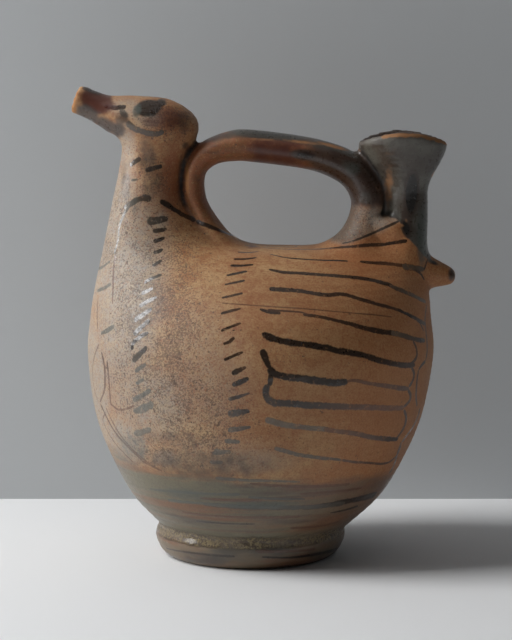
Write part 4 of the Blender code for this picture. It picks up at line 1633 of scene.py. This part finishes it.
# %% Wash and foot
WASH_OLIVE = colour(96, 99, 84)
WASH_BROWN = colour(120, 78, 54)
WASH_DARK = colour(66, 68, 66)
FOOT_DARK = colour(114, 99, 80)
WASH_WANDERS = 17.0
WASH_SOFT = 3.5
wash_edge = shake(wash_depth, cloud(tree, 7, 5, (5, 5, 1), seed=8, roughness=0.65), WASH_WANDERS)
washed = step_up(tree, wash_edge, -WASH_SOFT, WASH_SOFT)
brown_streaks = step_up(tree, cloud(tree, 4.0, 4, (26, 26, 1), seed=7), 0.5, 0.68, 0.0, 0.75)
dark_streaks = step_up(tree, cloud(tree, 3.4, 3, (14, 14, 1), seed=9), 0.5, 0.7)
wash_colour = layer_over(tree, brown_streaks, WASH_OLIVE, WASH_BROWN)
wash_colour = layer_over(tree, dark_streaks, wash_colour, WASH_DARK)
wash_colour = layer_over(tree, times(calc(tree, "MINIMUM", rust_and_shade_depth, 1.0), 0.8), wash_colour, WASH_BROWN)
wash_colour = layer_over(tree, times(warm, 0.6), wash_colour, WASH_BROWN)
wash_colour = layer_over(tree, step_up(tree, grit, 0.45, 0.7, 0.0, 0.35), wash_colour, WASH_DARK)
body = layer_over(tree, times(washed, 0.86), body, wash_colour)
brown_patches = step_up(tree, cloud(tree, 5, 4, (6, 6, 1), seed=10), 0.45, 0.7, 0.0, 0.8)
dark_patches = step_up(tree, cloud(tree, 7, 4, (4, 4, 1), seed=20), 0.5, 0.7, 0.0, 0.7)
foot_colour = layer_over(tree, brown_patches, FOOT_DARK, WASH_BROWN)
foot_colour = layer_over(tree, dark_patches, foot_colour, WASH_DARK)
body = layer_over(tree, on_foot, body, foot_colour)
print("nodes so far:", len(tree.nodes))

# %% [markdown]
# ## The painted lines
# Each layer of lines gives a mask and a tone. The tone picks the slip's colour, thin slip covers less, and
# a dry noise breaks it. A tone near 2 marks a crease line, matt and nearly black, as painted shade.

# %% Lines of slip
SLIP_BLACK = colour(34, 22, 13)
SLIP_BROWN = colour(92, 54, 35)
SLIP_GREY = colour(80, 84, 78)
SMOKE_AND_SHADE_BLACK = colour(24, 20, 18)
RAGGED = 0.75
FULL_COVER, THIN_SLIP_LOSES = 0.97, -0.24
CREASE_SHADE_TONE = (1.2, 1.8)
line_mask, line_tone = None, None
for number in range(len(layers)):
    across, *_, tone = noted(tree, f"brush_{number}")
    mask = use(tree, BRUSH, Place=across, Ragged=RAGGED)[0]
    if line_mask is None:
        line_mask, line_tone = mask, tone
    else:
        line_tone = place(tree, "Mix", {"Factor": mask, "A": line_tone, "B": tone}).outputs[0]
        line_mask = larger(line_mask, mask)
thinness = calc(tree, "ABSOLUTE", line_tone)
cover = calc(tree, "MULTIPLY_ADD", calc(tree, "MINIMUM", thinness, 1.0), THIN_SLIP_LOSES, FULL_COVER)
dry = step_up(tree, plus(cloud(tree, 1.6, 4, seed=11), times(thinness, -0.08)), 0.22, 0.42, 0.5, 1.0)
lines = times(times(line_mask, cover), dry)
in_crease_shade = step_up(tree, line_tone, *CREASE_SHADE_TONE)
line_colour = layer_over(tree, step_up(tree, line_tone, 0.05, 0.9), SLIP_BLACK, SLIP_BROWN)
line_colour = layer_over(tree, step_up(tree, line_tone, -0.15, -1.0, 0.0, 1.0), line_colour, SLIP_GREY)
line_colour = layer_over(tree, in_crease_shade, line_colour, SMOKE_AND_SHADE_BLACK)
body = layer_over(tree, lines, body, line_colour)
print("nodes so far:", len(tree.nodes))

# %% [markdown]
# ## Slip, smoke and painted shade in broad areas
# The bill is maroon. Slip on the mouth fired slate grey, elsewhere it is black. Smoke goes over both, first
# brown and black where it was thick, then grey ash; the same brown paints shade on neck, nape, head, bill
# and belly. The top of the handle turned green-grey.

# %% Maroon, slip, smoke with painted shade, and ash
SLATE = colour(88, 89, 82)
SLATE_DARK = colour(60, 58, 54)
SMOKE_AND_SHADE_BROWN = colour(62, 50, 43)
maroon = dab(maroon_depth, 4.0, 0.7, 0.32)
slip = dab(glaze_depth, 4.0, 0.5, 0.22)
ash = dab(ash_depth, 3.0, 0.8, 0.35)
smoke_and_shade = dab(smoke_and_shade_depth, 5.0, 0.6, 0.3)
green = dab(shake(grey_depth, pulled, 1.2), 4.0, 0.7, 0.35)
slate = layer_over(tree, step_up(tree, cloud(tree, 9, 5, seed=12), 0.35, 0.65), SLATE_DARK, SLATE)
smoke_and_shade_colour = layer_over(tree, step_up(tree, smoke_and_shade_depth, 0.9, 1.15), SMOKE_AND_SHADE_BROWN, SMOKE_AND_SHADE_BLACK)
body = layer_over(tree, times(maroon, 0.92), body, MAROON_SLIP)
body = layer_over(tree, times(slip, 0.95), body, layer_over(tree, on_mouth, SLIP_BLACK, slate))
body = layer_over(tree, times(smoke_and_shade, 0.93), body, smoke_and_shade_colour)
body = layer_over(tree, times(ash, 0.8), body, SLIP_GREY)
body = layer_over(tree, times(green, 0.62), body, GREEN_GREY)
print("nodes so far:", len(tree.nodes))

# %% [markdown]
# ## Wear, highlights, earth and painted shade
# The rear half of the lip and other touched places are worn to the clay, and light dabs paint highlights. A
# crust of earth fills the groove above the foot, with crumbs in it. Hollows are darkened with painted shade
# and dirt, creases with painted shade, and the inside is plain clay, dark brown under the mouth as painted
# shade.

# %% Wear, highlights, earth, and painted shade with dirt
BARE_AND_LIT_CLAY = colour(168, 116, 70)
EARTH = colour(156, 138, 98)
CRUST_DARK = colour(84, 66, 48)
REAR_LIP = (44 * MM, 50 * MM)
GROOVE_BEGINS, GROOVE_ENDS = (7.5 * MM, 10.5 * MM), (17 * MM, 12.5 * MM)
worn_and_lit = dab(bare_and_lit_depth, 2.5, 0.9, 0.3)
rear_lip = times(lip, step_up(tree, along, *REAR_LIP))
bare_and_lit = larger(worn_and_lit, step_up(tree, shake(rear_lip, cloud(tree, 3.0, 4, seed=13), 0.9), 0.35, 0.65))
body = layer_over(tree, times(bare_and_lit, 0.7), body, BARE_AND_LIT_CLAY)
groove = times(step_up(tree, level, *GROOVE_BEGINS), step_up(tree, level, *GROOVE_ENDS))
crust = step_up(tree, shake(groove, cloud(tree, 2.0, 6, seed=14, roughness=0.8), 1.5), 0.5, 0.95)
crust = times(crust, step_up(tree, cloud(tree, 16, 2, seed=22), 0.3, 0.6, 0.35, 1.0))
crumbs = cloud(tree, 1.1, 3, seed=24, roughness=0.8)
crust_colour = layer_over(tree, step_up(tree, crumbs, 0.46, 0.56), CRUST_DARK, EARTH)
body = layer_over(tree, times(crust, 0.85), body, crust_colour)
# hollows darkened: painted shade with dirt
hollow_shade_and_dirt = step_up(tree, times(edge, -1.0), 0.08, 0.4, 0.0, 0.35)
body = layer_over(tree, times(hollow_shade_and_dirt, rest_of(on_foot)), body, SMOKE_AND_SHADE_BROWN)
# creases darkened: painted shade with some dirt
body = layer_over(tree, times(crease_shaded, 0.9), body, SMOKE_AND_SHADE_BLACK)
# inside: red clay, and dark brown under the mouth as painted shade in the passage
body = layer_over(tree, in_hollow, body, layer_over(tree, on_mouth, CLAY_RED, SMOKE_AND_SHADE_BROWN))
feed(shader.inputs["Base Color"], body)
print("nodes so far:", len(tree.nodes))

# %% [markdown]
# ## Gloss
# Dense slip fires to a soft shine, wash to half of it, and bare clay stays dull. Roughness does most of
# that, and a thin coat on the slip gives the small white glints on the lines of the breast. Creases and the
# lip stay dull.

# %% Gloss
DULL_CLAY, SLIP_SMOOTHS = 0.56, -0.26
broad_slip = times(larger(slip, larger(ash, smoke_and_shade)), rest_of(bare_and_lit))
painted = larger(lines, broad_slip)
half_gloss = larger(larger(washed, on_foot), larger(maroon, green))
gloss = larger(painted, times(half_gloss, 0.6))
dull = larger(crease_shaded, lip)
sheen = calc(tree, "MULTIPLY_ADD", gloss, SLIP_SMOOTHS, DULL_CLAY)
uneven = times(calc(tree, "SUBTRACT", cloud(tree, 1.5, 4, seed=15), 0.5), 0.3)
feed(shader.inputs["Roughness"], plus(plus(sheen, uneven), times(larger(bare_and_lit, dull), 0.3)))
shine = times(lines, step_up(tree, cloud(tree, 1.3, 3, seed=21), 0.35, 0.6, 0.3, 1.0))
line_coat = times(times(shine, 0.7), rest_of(larger(in_crease_shade, crease_shaded)))
broad_coat = times(times(gloss, 0.15), rest_of(dull))
feed(shader.inputs["Coat Weight"], larger(line_coat, larger(broad_coat, times(crust, 0.5))))
shader.inputs["Metallic"].default_value = 0.0
shader.inputs["IOR"].default_value = 1.5
shader.inputs["Coat Roughness"].default_value = 0.13
shader.inputs["Coat IOR"].default_value = 1.6
print("nodes so far:", len(tree.nodes))

# %% [markdown]
# ## Fine relief
# Grain, turning marks, pits, crust and the thickness of the slip are too fine for the mesh. They go to a
# Bump node, in millimetres of height. The waves and chips that can be seen in the outline are in the mesh
# already.

# %% Fine relief, and the vessel put in its place
RELIEF = (
    (grit, 0.05),
    (cloud(tree, 4, 3, seed=17), 0.16),
    (rings_seen, 0.05),
    (all_pits, -0.1),
    (crust, 0.3),
    (times(crust, crumbs), 1.6),
    (painted, 0.03),
)
height = 0.0
for what, depth in RELIEF:
    height = plus(height, times(what, depth))
bump = place(tree, "Bump", {"Height": height, "Distance": MM, "Strength": 0.8})
feed(shader.inputs["Normal"], bump.outputs[0])
vessel.data.materials.clear()
vessel.data.materials.append(fired)
vessel.data.shade_smooth()
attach(vessel, "root")
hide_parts("lower_vessel", "upper_vessel")
print("nodes in the material:", len(tree.nodes))

# %% [markdown]
# ## Floor and backdrop
# The vessel stands on a plain pale floor before a plain grey backdrop. Both are single faces. The
# backdrop's back is see-through, so that a camera behind it can still see the vessel.

# %% Floor and backdrop
BACKDROP_Y = 112 * MM
FLOOR_HALF = 1.6
BACKDROP_TOP = 1.2


def plain(name, tint, roughness):
    """A matt material of one colour."""
    material = bpy.data.materials.new(name)
    material.use_nodes = True
    surface = material.node_tree.nodes["Principled BSDF"]
    surface.inputs["Base Color"].default_value = tint
    surface.inputs["Roughness"].default_value = roughness
    surface.inputs["Specular IOR Level"].default_value = 0.2
    return material


def flat_face(name, corners, material):
    """One flat face that belongs to the stage."""
    mesh = bpy.data.meshes.new(name)
    mesh.from_pydata(corners, [], [tuple(range(len(corners)))])
    piece = bpy.data.objects.new(name, mesh)
    bpy.context.scene.collection.objects.link(piece)
    piece.data.materials.append(material)
    return piece


span = ((-FLOOR_HALF, 0), (FLOOR_HALF, 0), (FLOOR_HALF, 1), (-FLOOR_HALF, 1))
floor_corners = [(x, mix(-FLOOR_HALF, FLOOR_HALF, far), 0) for x, far in span]
backdrop_corners = [(x, BACKDROP_Y, BACKDROP_TOP * up) for x, up in span]
pale = plain("pale_floor", colour(232, 233, 234), 0.8)
grey = plain("grey_backdrop", colour(194, 197, 199), 0.9)
flat_face("floor", floor_corners, pale)
flat_face("backdrop", backdrop_corners, grey)
sides = grey.node_tree
clear = place(sides, "BsdfTransparent").outputs[0]
behind = place(sides, "NewGeometry").outputs["Backfacing"]
both = place(sides, "MixShader", {0: behind, 1: sides.nodes["Principled BSDF"].outputs[0], 2: clear})
feed(sides.nodes["Material Output"].inputs["Surface"], both.outputs[0])
print("backdrop, mm behind the vessel's middle:", round(BACKDROP_Y / MM))

# %% [markdown]
# ## Light
# One large soft light stands at the vessel's left, high and almost beside it, so form is told by a long
# gradient from left to right. A weak one above and one behind keep the shadows open, and the surroundings
# add a trace of grey.

# %% Light
MIDDLE = Vector((0, 0, 95 * MM))


def lamp(name, azimuth, elevation, distance, width, height, power):
    """A soft light, seen from the vessel at azimuth degrees left of the camera."""
    light = bpy.data.lights.new(name, "AREA")
    light.shape = "RECTANGLE"
    light.size, light.size_y = width, height
    light.energy = power
    side, up = math.radians(azimuth), math.radians(elevation)
    towards = Vector((-math.sin(side) * math.cos(up), -math.cos(side) * math.cos(up), math.sin(up)))
    stand = bpy.data.objects.new(name, light)
    stand.location = MIDDLE + towards * distance
    stand.rotation_euler = towards.to_track_quat("Z", "Y").to_euler()
    bpy.context.scene.collection.objects.link(stand)
    return stand


# azimuth, elevation, distance, width, height in metres, watts
LAMPS = {
    "side_light": (87, 35, 1.2, 0.7, 1.1, 24),
    "top_light": (0, 80, 1.4, 1.0, 1.0, 0.8),
    "rear_light": (180, 50, 1.3, 0.8, 0.8, 1.5),
}
SURROUNDINGS_TINT, SURROUNDINGS_STRENGTH = (0.62, 0.64, 0.66, 1), 0.05
for name, numbers in LAMPS.items():
    lamp(name, *numbers)
world = bpy.data.worlds.new("surroundings")
world.use_nodes = True
background = world.node_tree.nodes["Background"].inputs
background["Color"].default_value = SURROUNDINGS_TINT
background["Strength"].default_value = SURROUNDINGS_STRENGTH
bpy.context.scene.world = world
bpy.context.scene.view_settings.view_transform = "Standard"
print("lamps:", ", ".join(LAMPS))

# %% [markdown]
# ## Camera
# The camera stands where the picture's eye stood, 0.9 m in front and a little above the mouth, tilted down.
# Its focal length is kept in pixels of a picture 640 high, which a lens in millimetres on a 36 mm sensor
# turns into Blender's terms.

# %% Camera
SENSOR = 36.0
camera_data = bpy.data.cameras.new("camera")
camera_data.sensor_fit = "VERTICAL"
camera_data.sensor_height = SENSOR
camera_data.sensor_width = SENSOR
camera_data.lens = FOCAL_LENGTH_PX / PICTURE_HEIGHT * SENSOR
camera = bpy.data.objects.new("camera", camera_data)
camera.location = CAMERA_PLACE
camera.rotation_euler = CAMERA_TURN
bpy.context.scene.collection.objects.link(camera)
bpy.context.scene.camera = camera
print("lens, mm:", round(camera_data.lens, 1))
